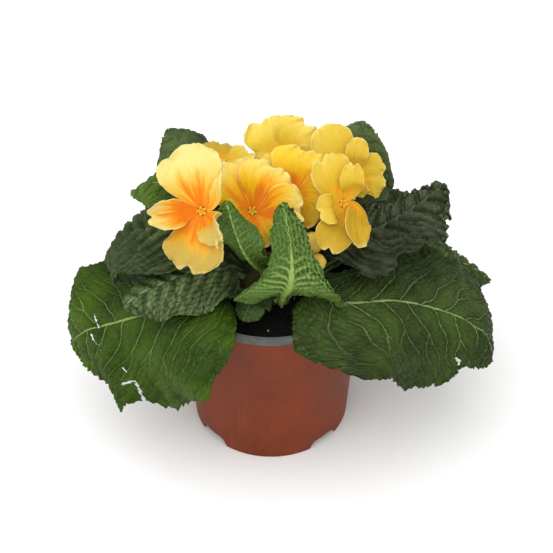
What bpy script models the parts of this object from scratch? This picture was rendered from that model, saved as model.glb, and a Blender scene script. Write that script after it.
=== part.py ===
"""A potted primrose: a thin plastic pot of compost, and in it one plant, whose leaves and flower stalks all
grow from a short rootstock. Sizes are in millimetres, and the meshes are made in metres. +Z is up, and -Y is
the side with the two young leaves. The plant is built round the pot's own axis. Last of all it is moved, so
that the origin is on the ground below the middle of its whole box."""

import math

import bmesh
import bpy
import numpy as np
from mathutils import Matrix, Vector, noise

MM = 0.001
GAP = 0.35
FULL_TURN = 2 * math.pi
BOX_MIDDLE = (6.25, 9.9, 0)

# The pot: a nursery size, 90 across the rim.
POT_HEIGHT = 86.5
RIM_RADIUS = 45.0
RIM_ROUNDING = 0.8
LIP_HEIGHT = 3.6
WALL_TOP_RADIUS = 43.4
WALL_FOOT_RADIUS = 38.3
WALL = 1.2
FOOT_WIDTH = 2.4
FLOOR_UNDERSIDE = 5.6
FLOOR_THICKNESS = 1.4
POT_STEPS = 40
NOTCHES = 4
NOTCH_BEARING = 42.5
NOTCH_HEIGHT = 5.0
NOTCH_TOP_WIDTH = 12.5
NOTCH_FOOT_WIDTH = 17.5
DRAIN_HOLES = 5
DRAIN_HOLE_RADIUS = 3.5
DRAIN_HOLE_RING = 21.0

# The compost, filled to a little under the rim, with a plain hole for the rootstock.
SOIL_TOP = 81.5
SOIL_CLODS = 2.6
CLOD_PITCH = 6.25
SOIL_RINGS = 6

# The rootstock: a low oval, half of it in the compost.
STOCK_CENTRE = 82.0
STOCK_RADIUS = 16.0
STOCK_HALF_HEIGHT = 11.0
STOCK_STEPS = 20
TIER_ANGLES = (15, 40, 62)
STALK_STARTS = (2 * GAP, 5.0)

# Leaves: rows and columns of the blade, the thickness at the edge and at the rib, and the leaf stalk.
LEAF_ROWS = 12
LEAF_COLUMNS = 6
LEAF_THICKNESS = 0.8
RIB_THICKNESS = 2.4
RIB_WIDTH = 0.34
RIB_TAPER = 0.75
STALK_HALF_WIDTH = 2.5
SIDES_OUT_OF_STEP = 2.2
EDGE_TOOTH = 0.035
TIP_PULL = 0.07

# Blooms: the petals, the tube behind them, and the green calyx and flower stalk.
PETALS = 5
PETAL_ROWS = 4
PETAL_COLUMNS = 4
PETAL_THICKNESS = 0.7
CLAW_HALF_WIDTH = 1.7
PETAL_WIDEST = 0.78
PETAL_FLARE = 2.3
PETAL_END = 0.45
PETAL_BEND = 0.55
NOTCH_DEPTH = 0.1
TIP_ROUNDING = 0.12
THROAT_RADIUS = 1.5
RING_RADIUS = 2.1
EYE_DEPTH = 0.3
BUD_FOLDS = 0.12
TUBE_RADIUS = 1.75
TUBE_LENGTH = 12.0
TUBE_SIDES = 10
CALYX_RADIUS = 3.0
CALYX_MOUTH = 3.5
CALYX_FOOT = 14.5
CALYX_SIDES = 8
FLOWER_STALK_RADIUS = 0.8
FLOWER_STALK_STATIONS = 8

ROUTE_STEPS = 12
SPINE_STATIONS = 61


def clear_scene():
    for old in list(bpy.data.objects):
        bpy.data.objects.remove(old, do_unlink=True)


def new_collection(name):
    collection = bpy.data.collections.new(name)
    bpy.context.scene.collection.children.link(collection)
    return collection


def material(name, colour, roughness):
    made = bpy.data.materials.new(name)
    made.use_nodes = True
    shader = made.node_tree.nodes["Principled BSDF"]
    shader.inputs["Base Color"].default_value = (*colour, 1)
    shader.inputs["Roughness"].default_value = roughness
    shader.inputs["Metallic"].default_value = 0
    made.diffuse_color = (*colour, 1)
    return made


def object_from_bmesh(name, shape, collection, finish):
    mesh = bpy.data.meshes.new(name)
    shape.to_mesh(mesh)
    shape.free()
    mesh.materials.append(finish)
    made = bpy.data.objects.new(name, mesh)
    collection.objects.link(made)
    return made


def smooth(obj, degrees=40):
    obj.data.shade_smooth()
    obj.data.set_sharp_from_angle(angle=math.radians(degrees))


def turned(name, profile, steps, collection, finish):
    """A profile of (radius, height) points turned about +Z. Its outer side runs from top to bottom."""
    shape = bmesh.new()
    corners = [shape.verts.new((radius * MM, 0, height * MM)) for radius, height in profile]
    for start, end in zip(corners, corners[1:]):
        shape.edges.new((start, end))
    made = object_from_bmesh(name, shape, collection, finish)
    screw = made.modifiers.new("Turn", "SCREW")
    screw.steps = steps
    screw.render_steps = steps
    screw.use_merge_vertices = True
    screw.merge_threshold = 0.00001
    return made


def cut(obj, cutter):
    cutter.hide_render = True
    cutter.display_type = "WIRE"
    boolean = obj.modifiers.new("Cut", "BOOLEAN")
    boolean.operation = "DIFFERENCE"
    boolean.object = cutter


def make_pot(collection, cutters, finish):
    """One thin tapering piece with a lip at the rim and a foot ring under its raised floor."""
    floor_top = FLOOR_UNDERSIDE + FLOOR_THICKNESS
    profile = [
        (0, floor_top),
        (wall_radius(floor_top) - WALL, floor_top),
        (WALL_TOP_RADIUS - WALL, POT_HEIGHT),
        (RIM_RADIUS - RIM_ROUNDING, POT_HEIGHT),
        (RIM_RADIUS, POT_HEIGHT - RIM_ROUNDING),
        (RIM_RADIUS, POT_HEIGHT - LIP_HEIGHT),
        (WALL_TOP_RADIUS, POT_HEIGHT - LIP_HEIGHT - RIM_ROUNDING),
        (WALL_FOOT_RADIUS, 0),
        (WALL_FOOT_RADIUS - FOOT_WIDTH, 0),
        (WALL_FOOT_RADIUS - FOOT_WIDTH, FLOOR_UNDERSIDE),
        (0, FLOOR_UNDERSIDE),
    ]
    pot = turned("pot", profile, POT_STEPS, collection, finish)
    cut(pot, notch_cutter(cutters, finish))
    cut(pot, drain_cutter(cutters, finish))
    return pot


def wall_radius(height):
    """The outside radius of the pot's wall at a height."""
    return WALL_FOOT_RADIUS + (WALL_TOP_RADIUS - WALL_FOOT_RADIUS) * height / POT_HEIGHT


def notch_cutter(cutters, finish):
    """Blocks that open the foot ring between its feet. Each widens from its top to the ground, and as much
    again to its own lower end."""
    shape = bmesh.new()
    depth = FOOT_WIDTH * 4
    for index in range(NOTCHES):
        made = bmesh.ops.create_cube(shape, size=1)
        for corner in made["verts"]:
            at_top = corner.co.z > 0
            width = NOTCH_TOP_WIDTH if at_top else 2 * NOTCH_FOOT_WIDTH - NOTCH_TOP_WIDTH
            corner.co.x = WALL_FOOT_RADIUS + corner.co.x * depth
            corner.co.y *= width
            corner.co.z = NOTCH_HEIGHT if at_top else -NOTCH_HEIGHT
        turn = Matrix.Rotation(math.radians(NOTCH_BEARING + 90 * index), 4, "Z")
        bmesh.ops.transform(shape, matrix=Matrix.Scale(MM, 4) @ turn, verts=made["verts"])
    return object_from_bmesh("cutter_notches", shape, cutters, finish)


def drain_cutter(cutters, finish):
    shape = bmesh.new()
    for index in range(DRAIN_HOLES):
        bearing = FULL_TURN * index / DRAIN_HOLES
        middle = Vector((math.cos(bearing), math.sin(bearing), 0)) * DRAIN_HOLE_RING
        middle.z = FLOOR_UNDERSIDE
        bmesh.ops.create_cone(
            shape,
            cap_ends=True,
            segments=10,
            radius1=DRAIN_HOLE_RADIUS * MM,
            radius2=DRAIN_HOLE_RADIUS * MM,
            depth=FLOOR_THICKNESS * 4 * MM,
            matrix=Matrix.Translation(middle * MM),
        )
    return object_from_bmesh("cutter_drain_holes", shape, cutters, finish)


def make_soil(collection, finish):
    """The compost, a body that fills the pot, with a cloddy top and a plain hole for the rootstock."""
    floor = FLOOR_UNDERSIDE + FLOOR_THICKNESS + GAP
    hole_radius = STOCK_RADIUS + GAP + 0.3
    hole_floor = STOCK_CENTRE - STOCK_HALF_HEIGHT - GAP
    top_radius = wall_radius(SOIL_TOP) - WALL - GAP
    profile = [(0, hole_floor), (hole_radius, hole_floor)]
    for ring in range(SOIL_RINGS + 1):
        profile.append((hole_radius + (top_radius - hole_radius) * ring / SOIL_RINGS, SOIL_TOP))
    profile += [(wall_radius(floor) - WALL - GAP, floor), (0, floor)]
    shape = bmesh.new()
    corners = [shape.verts.new((radius * MM, 0, height * MM)) for radius, height in profile]
    edges = [shape.edges.new(pair) for pair in zip(corners, corners[1:])]
    bmesh.ops.spin(
        shape,
        geom=corners + edges,
        cent=(0, 0, 0),
        axis=(0, 0, 1),
        angle=FULL_TURN,
        steps=POT_STEPS,
        use_merge=True,
    )
    bmesh.ops.remove_doubles(shape, verts=shape.verts, dist=0.00001)
    for corner in shape.verts:
        out = math.hypot(corner.co.x, corner.co.y) / MM
        if abs(corner.co.z / MM - SOIL_TOP) < 0.01 and hole_radius + 1 < out < top_radius - 1:
            corner.co.z += noise.noise(corner.co / (CLOD_PITCH * MM)) * SOIL_CLODS * MM
    bmesh.ops.recalc_face_normals(shape, faces=shape.faces)
    return object_from_bmesh("compost", shape, collection, finish)


def make_rootstock(collection, finish):
    shape = bmesh.new()
    bmesh.ops.create_uvsphere(shape, u_segments=STOCK_STEPS, v_segments=10, radius=1)
    for corner in shape.verts:
        corner.co.x *= STOCK_RADIUS * MM
        corner.co.y *= STOCK_RADIUS * MM
        corner.co.z = (STOCK_CENTRE + corner.co.z * STOCK_HALF_HEIGHT) * MM
    made = object_from_bmesh("rootstock", shape, collection, finish)
    smooth(made)
    return made


def stock_point(bearing, rise, clear):
    """A place at a bearing and a rise, in degrees, this far off the rootstock and square to its surface."""
    low, high = math.cos(math.radians(rise)), math.sin(math.radians(rise))
    square = math.hypot(STOCK_HALF_HEIGHT * low, STOCK_RADIUS * high)
    across = STOCK_RADIUS * low + clear * STOCK_HALF_HEIGHT * low / square
    return (
        across * math.cos(math.radians(bearing)),
        across * math.sin(math.radians(bearing)),
        STOCK_CENTRE + STOCK_HALF_HEIGHT * high + clear * STOCK_RADIUS * high / square,
    )


def smooth_route(points, count):
    """`count` places evenly spaced along one smooth curve through the points."""
    places = np.array(points, float)
    steps = np.linalg.norm(np.diff(places, axis=0), axis=1)[:, None]
    slopes = np.diff(places, axis=0) / steps
    inner = (slopes[:-1] * steps[1:] + slopes[1:] * steps[:-1]) / (steps[1:] + steps[:-1])
    ways = np.vstack([slopes[:1], inner, slopes[-1:]])
    share = np.linspace(0, 1, ROUTE_STEPS, endpoint=False)[:, None]
    fine = [
        (1 + 2 * share) * (1 - share) ** 2 * start
        + share**2 * (3 - 2 * share) * end
        + step * share * (1 - share) * ((1 - share) * way_in - share * way_out)
        for start, end, step, way_in, way_out in zip(places, places[1:], steps, ways, ways[1:])
    ]
    fine = np.vstack([*fine, places[-1:]])
    run = np.concatenate([[0], np.cumsum(np.linalg.norm(np.diff(fine, axis=0), axis=1))])
    even = np.linspace(0, run[-1], count)
    return np.stack([np.interp(even, run, fine[:, axis]) for axis in range(3)], axis=1)


def unit(vectors):
    return vectors / np.linalg.norm(vectors, axis=-1, keepdims=True)


def stations(values, along):
    """A value that changes along the blade, given at even steps from its foot to its tip."""
    return np.interp(along, np.linspace(0, 1, len(values)), values)


def side_sweep(width, fold, curl, across):
    """How far a half blade reaches sideways and lifts, leaving the rib at `fold` and bending by `curl`."""
    start = np.radians(fold)
    bend = np.radians(np.where(np.abs(curl) < 0.5, 0.5, curl))
    end = start + bend * across
    reach = width * (np.sin(end) - np.sin(start)) / bend
    lift = width * (np.cos(start) - np.cos(end)) / bend
    return reach, lift


def leaf_half_width(leaf, along, left):
    """The half width of a leaf on one side: a narrow stalk, then a blade with a rounded end."""
    widest = np.where(left, leaf["half_widths"][0], leaf["half_widths"][1])
    blade = np.clip((along - leaf["stalk"]) / (1 - leaf["stalk"]), 0, 1)
    peak = leaf["widest"]
    rising = np.sin(math.pi / 2 * np.clip(blade / peak, 0, 1)) ** leaf["rise"]
    past = np.clip((blade - peak) / (1 - peak), 0, 1)
    falling = np.sqrt(1 - (1 - leaf["tip"] ** 2) * past**2)
    width = np.where(blade > peak, widest * falling, STALK_HALF_WIDTH + (widest - STALK_HALF_WIDTH) * rising)
    if leaf["outline"]:
        width = widest * stations(leaf["outline"], along)
    return width, blade


def leaf_places(leaf, along, across):
    """Where the points of a leaf's upper face lie: `along` runs from 0 at the rootstock to 1 at the tip, and
    `across` from -1 at the right edge to 1 at the left one, looking outwards."""
    start, rise = (stock_point(leaf["root"], TIER_ANGLES[leaf["tier"]], clear) for clear in STALK_STARTS)
    spine = smooth_route([start, rise, *leaf["spine"]], SPINE_STATIONS)
    way = unit(np.gradient(spine, axis=0))
    bearing = math.radians(leaf["bearing"])
    level = np.array([-math.sin(bearing), math.cos(bearing), 0])
    side = unit(level - (way @ level)[:, None] * way)
    up = np.cross(way, side)
    roll = np.radians(stations(leaf["roll"], np.linspace(0, 1, SPINE_STATIONS)))[:, None]
    side, up = side * np.cos(roll) + up * np.sin(roll), up * np.cos(roll) - side * np.sin(roll)

    left = across > 0
    out = np.abs(across)
    width, blade = leaf_half_width(leaf, along, left)
    width = width * (1 + EDGE_TOOTH * np.where(blade > 0, np.cos(math.pi * along * LEAF_ROWS), 0) * out)
    fold = np.where(left, stations(leaf["left_fold"], along), stations(leaf["right_fold"], along))
    curl = np.where(left, stations(leaf["left_curl"], along), stations(leaf["right_curl"], along))
    reach, lift = side_sweep(width, fold, curl, out)
    strength, waves, phase = leaf["wave"]
    ripple = np.sin(FULL_TURN * (waves * along + phase) + np.where(left, SIDES_OUT_OF_STEP, 0))
    lift = lift + strength * out**2 * ripple * width / np.max(leaf["half_widths"])
    lobe = np.where(left, leaf["lobes"][0], leaf["lobes"][1]) * np.sin(math.pi * blade) ** 2 * (1 - blade)
    back = along * (1 - TIP_PULL * out**2 * blade**3) - lobe * out**2
    station = np.clip(back, 0, 1) * (SPINE_STATIONS - 1)
    whole = np.arange(SPINE_STATIONS)

    def at(track):
        return np.stack([np.interp(station, whole, track[:, axis]) for axis in range(3)], axis=1)

    return at(spine) + at(side) * (reach * np.sign(across))[:, None] + at(up) * lift[:, None]


def leaf_thickness(along, across):
    """Full at the rib, which tapers to the tip, and thin at the edge."""
    near_rib = np.clip(1 - np.abs(across) / RIB_WIDTH, 0, 1)
    return LEAF_THICKNESS + (RIB_THICKNESS - LEAF_THICKNESS) * near_rib * (1 - RIB_TAPER * along)


def thicken(obj, thickness):
    """Gives an open sheet a thickness, measured down from its upper face."""
    shell = obj.modifiers.new("Thickness", "SOLIDIFY")
    shell.thickness = thickness * MM
    shell.offset = -1
    return shell


def sheet(name, rows, columns, place, collection, finish, thickness):
    """An open sheet, placed by a formula, split alike on both faces and given its thickness downwards."""
    shape = bmesh.new()
    bmesh.ops.create_grid(shape, x_segments=rows, y_segments=columns, size=1)
    corners = list(shape.verts)
    along = np.array([(corner.co.x + 1) / 2 for corner in corners])
    across = np.array([corner.co.y for corner in corners])
    for corner, spot in zip(corners, place(along, across)):
        corner.co = Vector(spot) * MM
    bmesh.ops.triangulate(shape, faces=shape.faces)
    made = object_from_bmesh(name, shape, collection, finish)
    depth = thickness(along, across)
    deepest = float(depth.max())
    group = made.vertex_groups.new(name="thickness")
    for index, value in enumerate(depth):
        group.add([index], float(value) / deepest, "REPLACE")
    shell = thicken(made, deepest)
    shell.vertex_group = group.name
    smooth(made)
    return made


LEAF_HABIT = {
    "tier": 0,
    "half_widths": (30, 30),
    "stalk": 0.14,
    "widest": 0.62,
    "rise": 1.0,
    "tip": 0.4,
    "lobes": (0, 0),
    "outline": (),
    "roll": (0, 0, 0),
    "left_fold": (35, 5, -5),
    "right_fold": (35, 5, -5),
    "left_curl": (0, -20, -30),
    "right_curl": (0, -20, -30),
    "wave": (2.5, 2.5, 0.0),
}

# Each leaf's bearing, the bearing of its root on the rootstock, and the points of its rib past the root.
LEAVES = {
    "leaf_left_broad": {
        "bearing": 205,
        "root": 218,
        "spine": [
            (-28, -26.5, 95),
            (-44, -31.5, 95),
            (-58, -31, 89),
            (-72, -27, 80),
            (-86, -22, 70),
            (-94, -16, 57),
        ],
        "half_widths": (44, 46),
        "widest": 0.5,
        "tip": 0.65,
        "lobes": (0.26, 0.05),
        "left_fold": (30, -8, -36, -10),
        "right_fold": (30, -8, -8, 4),
        "left_curl": (0, -20, -20, -30),
    },
    "leaf_left_crinkled": {
        "bearing": 200,
        "root": 193,
        "tier": 1,
        "spine": [(-22, -18, 105), (-34, -25, 110), (-47, -31, 108), (-56, -34, 105), (-64, -36, 99)],
        "half_widths": (19, 21),
        "widest": 0.5,
        "left_fold": (30, -15, -20, -20),
        "right_fold": (30, -5, -10),
        "left_curl": (0, -30, -30, -30),
    },
    "leaf_left_ribbed": {
        "bearing": 172,
        "root": 166,
        "tier": 1,
        "spine": [(-24, -2, 112), (-44, -10, 121), (-58, -8, 119), (-68, -3, 110), (-74, 0, 98)],
        "half_widths": (25, 28),
        "tip": 0.75,
        "right_fold": (35, 0, -8),
    },
    "leaf_left_far": {
        "bearing": 155,
        "root": 148,
        "spine": [(-26, 21, 101), (-42, 32, 110), (-57, 37, 111), (-67, 37, 105)],
        "half_widths": (20, 22),
    },
    "leaf_left_tall": {
        "bearing": 140,
        "root": 128,
        "tier": 1,
        "spine": [(-16, 24, 106), (-31, 36, 121), (-42, 42, 130), (-49, 44, 136)],
        "half_widths": (23, 16),
        "stalk": 0.3,
    },
    "leaf_right_tall": {
        "bearing": 42,
        "root": 50,
        "tier": 1,
        "spine": [(21, 26, 103), (33, 38, 119), (41, 42, 132), (45, 43, 141)],
        "half_widths": (17, 27),
        "stalk": 0.3,
    },
    "leaf_right_curly": {
        "bearing": 8,
        "root": 8,
        "tier": 1,
        "spine": [(31, -2, 107), (49, -4, 117), (65, 4, 122), (79, 13, 128)],
        "half_widths": (18, 22),
        "widest": 0.55,
        "tip": 0.45,
        "wave": (4.0, 3.0, 0.2),
        "right_curl": (0, -30, -30),
    },
    "leaf_right_broad": {
        "bearing": 348,
        "root": 326,
        "spine": [
            (20, -20, 93),
            (34, -29, 95),
            (55, -28, 95),
            (75, -25, 87),
            (89, -23, 78),
            (101, -24, 66),
            (103, -26, 54),
        ],
        "half_widths": (40, 37),
        "widest": 0.56,
        "tip": 0.5,
        "lobes": (0.05, 0.32),
        "stalk": 0.07,
        "left_fold": (30, 0, 0, 0),
        "right_fold": (30, -10, -28, -30),
        "left_curl": (0, -10, -10, -10),
    },
    "leaf_right_low": {
        "bearing": 14,
        "root": 3,
        "spine": [(40, 14, 89), (75, 20, 81), (98, 25, 68), (108, 28, 57)],
        "half_widths": (18, 15),
    },
    "leaf_right_middle": {
        "bearing": 22,
        "root": 30,
        "spine": [(32, 18, 98), (55, 24, 104), (70, 27, 103), (81, 28, 98)],
        "half_widths": (20, 18),
    },
    "leaf_front_small": {
        "bearing": 245,
        "root": 246,
        "spine": [(-7.5, -24, 93.5), (-9.5, -32, 95.5), (-12, -40, 94)],
        "half_widths": (9, 7),
        "widest": 0.5,
    },
    "young_leaf_left": {
        "bearing": 250,
        "root": 252,
        "tier": 2,
        "spine": [(-6, -18, 108), (-11, -25, 122), (-15, -28, 138), (-18, -28, 152)],
        "half_widths": (10, 12),
        "tip": 0.3,
        "left_fold": (35, 15, 15),
        "right_fold": (35, 15, 15),
    },
    "young_leaf_right": {
        "bearing": 272,
        "root": 284,
        "spine": [(6, -25, 98), (8.5, -31, 108), (9, -34, 120), (8, -32, 133), (5, -25, 148)],
        "half_widths": (26, 25),
        "stalk": 0.2,
        "outline": (0.1, 0.11, 0.12, 0.3, 0.8, 1.0, 0.6, 0.4, 0.34, 0.28, 0.17),
        "lobes": (0.16, 0.32),
        "left_fold": (0, -5, -10, 20, 22),
        "right_fold": (0, -5, -10, 20, 22),
        "left_curl": (0, -30, -20, 0, 0),
        "right_curl": (0, -30, -20, 0, 0),
    },
    "leaf_back_left": {
        "bearing": 118,
        "root": 106,
        "spine": [(-14, 33, 92), (-26, 55, 92), (-36, 71, 82), (-41, 80, 69)],
        "half_widths": (22, 18),
    },
    "leaf_back": {
        "bearing": 88,
        "root": 82,
        "spine": [(6, 32, 96), (7, 54, 99), (7, 72, 94), (6, 86, 81)],
        "half_widths": (18, 20),
    },
    "leaf_back_right": {
        "bearing": 58,
        "root": 58,
        "spine": [(18, 28, 91), (34, 50, 89), (45, 66, 79), (50, 75, 66)],
        "half_widths": (22, 22),
    },
}


def make_leaves(collection, finish):
    for name, own in LEAVES.items():
        leaf = {**LEAF_HABIT, **own}

        def place(along, across, leaf=leaf):
            return leaf_places(leaf, along, across)

        sheet(name, LEAF_ROWS, LEAF_COLUMNS, place, collection, finish, leaf_thickness)


def bloom_frame(bloom):
    """The way a bloom looks, and the two directions across it: towards its top, and to its left."""
    bearing, rise = (math.radians(angle) for angle in bloom["faces"])
    axis = np.array([math.cos(bearing) * math.cos(rise), math.sin(bearing) * math.cos(rise), math.sin(rise)])
    top = unit(np.array([0, 0, 1]) - axis * axis[2])
    return axis, top, np.cross(axis, top)


def petal_half_width(half_width, along):
    """Narrow at the throat, widest past the middle, with a broad end."""
    rising = np.sin(math.pi / 2 * np.clip(along / PETAL_WIDEST, 0, 1)) ** PETAL_FLARE
    past = np.clip((along - PETAL_WIDEST) / (1 - PETAL_WIDEST), 0, 1)
    return np.where(
        along > PETAL_WIDEST,
        half_width * np.sqrt(1 - PETAL_END * past**2),
        CLAW_HALF_WIDTH + (half_width - CLAW_HALF_WIDTH) * rising,
    )


def petal_places(bloom, order, along, across):
    """Where the points of a petal's upper face lie: `along` from 0 at the throat to 1 at the notched tip. At
    the throat each petal takes a fifth of one ring, and from there it bends to its own direction."""
    turn, length, lean, half_width, arch, fold, curl, twist = bloom["petals"][order]
    axis, top, left_way = bloom_frame(bloom)

    def around(degrees):
        angle = np.radians(np.asarray(degrees, float))[..., None]
        return top * np.cos(angle) + left_way * np.sin(angle)

    throat = np.array(bloom["throat"], float)
    share = around(bloom["ring"] + 360 / PETALS * order)
    way_out = around(turn) * math.cos(math.radians(lean)) + axis * math.sin(math.radians(lean))
    route = [
        throat + share * THROAT_RADIUS,
        throat + share * THROAT_RADIUS * 3 + axis * 0.6,
        throat + way_out * length * PETAL_BEND + axis * arch,
        throat + way_out * length,
    ]
    spine = smooth_route(route, SPINE_STATIONS)
    way = unit(np.gradient(spine, axis=0))
    side = unit(np.cross(axis, way))
    up = np.cross(way, side)
    roll = np.radians(twist * np.linspace(0, 1, SPINE_STATIONS) ** 0.6)[:, None]
    side, up = side * np.cos(roll) + up * np.sin(roll), up * np.cos(roll) - side * np.sin(roll)

    out = np.abs(across)
    reach, lift = side_sweep(petal_half_width(half_width, along), fold * along, curl * along, out)
    lift = lift + bloom["ruffle"] * along**2 * out * np.sin(3.1 * across + 5 * along + order)
    notch = NOTCH_DEPTH * np.exp(-((across / 0.35) ** 2)) + TIP_ROUNDING * out**3
    station = along * (1 - notch * along**3) * (SPINE_STATIONS - 1)
    whole = np.arange(SPINE_STATIONS)

    def at(track):
        return np.stack([np.interp(station, whole, track[:, axis]) for axis in range(3)], axis=1)

    placed = at(spine) + at(side) * (reach * np.sign(across))[:, None] + at(up) * lift[:, None]
    ring = throat + around(bloom["ring"] + 360 / PETALS * (order + across / 2)) * RING_RADIUS
    near = np.clip(1 - along * PETAL_ROWS, 0, 1)[:, None]
    return placed * (1 - near) + ring * near


def bezier(start, lead, follow, end, count):
    share = np.linspace(0, 1, count)[:, None]
    rest = 1 - share
    start, lead, follow, end = (np.array(point, float) for point in (start, lead, follow, end))
    return start * rest**3 + 3 * lead * share * rest**2 + 3 * follow * share**2 * rest + end * share**3


def rod(name, points, radii, sides, collection, finish):
    """A round bar along the points, with its own radius at each, as a closed mesh."""
    curve = bpy.data.curves.new(name, "CURVE")
    curve.dimensions = "3D"
    curve.bevel_depth = MM
    curve.bevel_resolution = max(0, sides // 2 - 2)
    curve.use_fill_caps = True
    line = curve.splines.new("POLY")
    line.points.add(len(points) - 1)
    for knot, spot, radius in zip(line.points, points, radii):
        knot.co = (*(Vector(spot) * MM), 1)
        knot.radius = radius
    guide = bpy.data.objects.new(name + "_guide", curve)
    collection.objects.link(guide)
    bpy.context.view_layer.update()
    mesh = bpy.data.meshes.new_from_object(guide.evaluated_get(bpy.context.evaluated_depsgraph_get()))
    bpy.data.objects.remove(guide, do_unlink=True)
    shape = bmesh.new()
    shape.from_mesh(mesh)
    bpy.data.meshes.remove(mesh)
    bmesh.ops.remove_doubles(shape, verts=shape.verts, dist=0.00001)
    bmesh.ops.recalc_face_normals(shape, faces=shape.faces)
    return object_from_bmesh(name, shape, collection, finish)


def join(name, pieces, collection):
    """Fuses pieces that overlap into one object, and removes them."""
    first, others = pieces[0], pieces[1:]
    gathered = bpy.data.collections.new(name + "_pieces")
    bpy.context.scene.collection.children.link(gathered)
    for piece in others:
        gathered.objects.link(piece)
    union = first.modifiers.new("Join", "BOOLEAN")
    union.operation = "UNION"
    union.operand_type = "COLLECTION"
    union.collection = gathered
    union.solver = "MANIFOLD"
    bpy.context.view_layer.update()
    whole = bpy.data.meshes.new_from_object(first.evaluated_get(bpy.context.evaluated_depsgraph_get()))
    finish = first.data.materials[0]
    for piece in pieces:
        bpy.data.objects.remove(piece, do_unlink=True)
    bpy.data.collections.remove(gathered)
    whole.materials.clear()
    whole.materials.append(finish)
    made = bpy.data.objects.new(name, whole)
    collection.objects.link(made)
    smooth(made)
    return made


def make_corolla(name, bloom, collection, finish):
    """The five petals of a bloom, one sheet that meets round the throat, fused to the tube behind them."""
    axis, _, _ = bloom_frame(bloom)
    throat = np.array(bloom["throat"], float)
    shape = bmesh.new()
    for order in range(PETALS):
        rows = PETAL_ROWS + 1
        made = bmesh.ops.create_grid(shape, x_segments=rows, y_segments=PETAL_COLUMNS, size=1)["verts"]
        row = np.array([(corner.co.x + 1) / 2 * rows for corner in made])
        across = np.array([corner.co.y for corner in made])
        spots = petal_places(bloom, order, np.clip((row - 1) / PETAL_ROWS, 0, 1), across)
        spots[row < 0.5] = throat - axis * EYE_DEPTH
        for corner, spot in zip(made, spots):
            corner.co = Vector(spot) * MM
    bmesh.ops.remove_doubles(shape, verts=shape.verts, dist=0.00001)
    bmesh.ops.recalc_face_normals(shape, faces=shape.faces)
    if sum(face.normal.dot(Vector(axis)) for face in shape.faces) < 0:
        bmesh.ops.reverse_faces(shape, faces=shape.faces)
    bmesh.ops.triangulate(shape, faces=shape.faces)
    petals = object_from_bmesh(name, shape, collection, finish)
    thicken(petals, PETAL_THICKNESS)
    tube_points = [throat - axis * TUBE_LENGTH, throat - axis * EYE_DEPTH * 1.6]
    tube = rod(name + "_tube", tube_points, [TUBE_RADIUS] * 2, TUBE_SIDES, collection, finish)
    return join(name, [petals, tube], collection)


def make_bud(name, bloom, collection, finish):
    """A closed bud: an oval with five soft folds round it, on a short tube."""
    axis, top, left_way = bloom_frame(bloom)
    throat = np.array(bloom["throat"], float)
    stops = [-TUBE_LENGTH, -1.0, *(bloom["bud_length"] * share for share in (0.15, 0.45, 0.8, 1.0))]
    radii = [TUBE_RADIUS, TUBE_RADIUS, *(bloom["bud_radius"] * share for share in (0.7, 1.0, 0.75, 0.2))]
    made = rod(name, [throat + axis * stop for stop in stops], radii, TUBE_SIDES, collection, finish)
    for corner in made.data.vertices:
        offset = np.array(corner.co) / MM - throat
        height = offset @ axis
        around = offset - axis * height
        if height > 0 and np.linalg.norm(around) > 0.1:
            angle = math.atan2(around @ left_way, around @ top)
            around = around * (1 + BUD_FOLDS * math.cos(PETALS * angle + height * 0.4))
            corner.co = Vector(throat + axis * height + around) * MM
    smooth(made)
    return made


def make_flower_stalk(name, bloom, collection, cutters, finish):
    """The thin stalk from the top of the rootstock, and the calyx, a cup round the foot of the tube."""
    axis, _, _ = bloom_frame(bloom)
    throat = np.array(bloom["throat"], float)
    foot = throat - axis * CALYX_FOOT
    mouth = throat - axis * CALYX_MOUTH
    x, y = bloom["root"]
    rise = math.sqrt(1 - (x * x + y * y) / STOCK_RADIUS**2) * STOCK_HALF_HEIGHT
    root = np.array([x, y, STOCK_CENTRE + rise + GAP + 0.15])
    pull = np.linalg.norm(foot - root) * 0.4
    points = list(bezier(root, root + [0, 0, pull], foot - axis * pull * 0.7, foot, FLOWER_STALK_STATIONS))
    radii = [FLOWER_STALK_RADIUS] * len(points)
    points += [foot + axis * 1.5, mouth - axis * 3, mouth]
    radii += [CALYX_RADIUS * 0.85, CALYX_RADIUS, CALYX_RADIUS * 1.1]
    stalk = rod(name, points, radii, CALYX_SIDES, collection, finish)
    bore_foot = throat - axis * (TUBE_LENGTH + GAP)
    bore_radius = TUBE_RADIUS + GAP
    bore = rod(name + "_bore", [bore_foot, mouth + axis * 2], [bore_radius] * 2, CALYX_SIDES, cutters, finish)
    cut(stalk, bore)
    smooth(stalk)
    return stalk


BLOOM_HABIT = {"ring": 0, "ruffle": 1.0}

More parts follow.
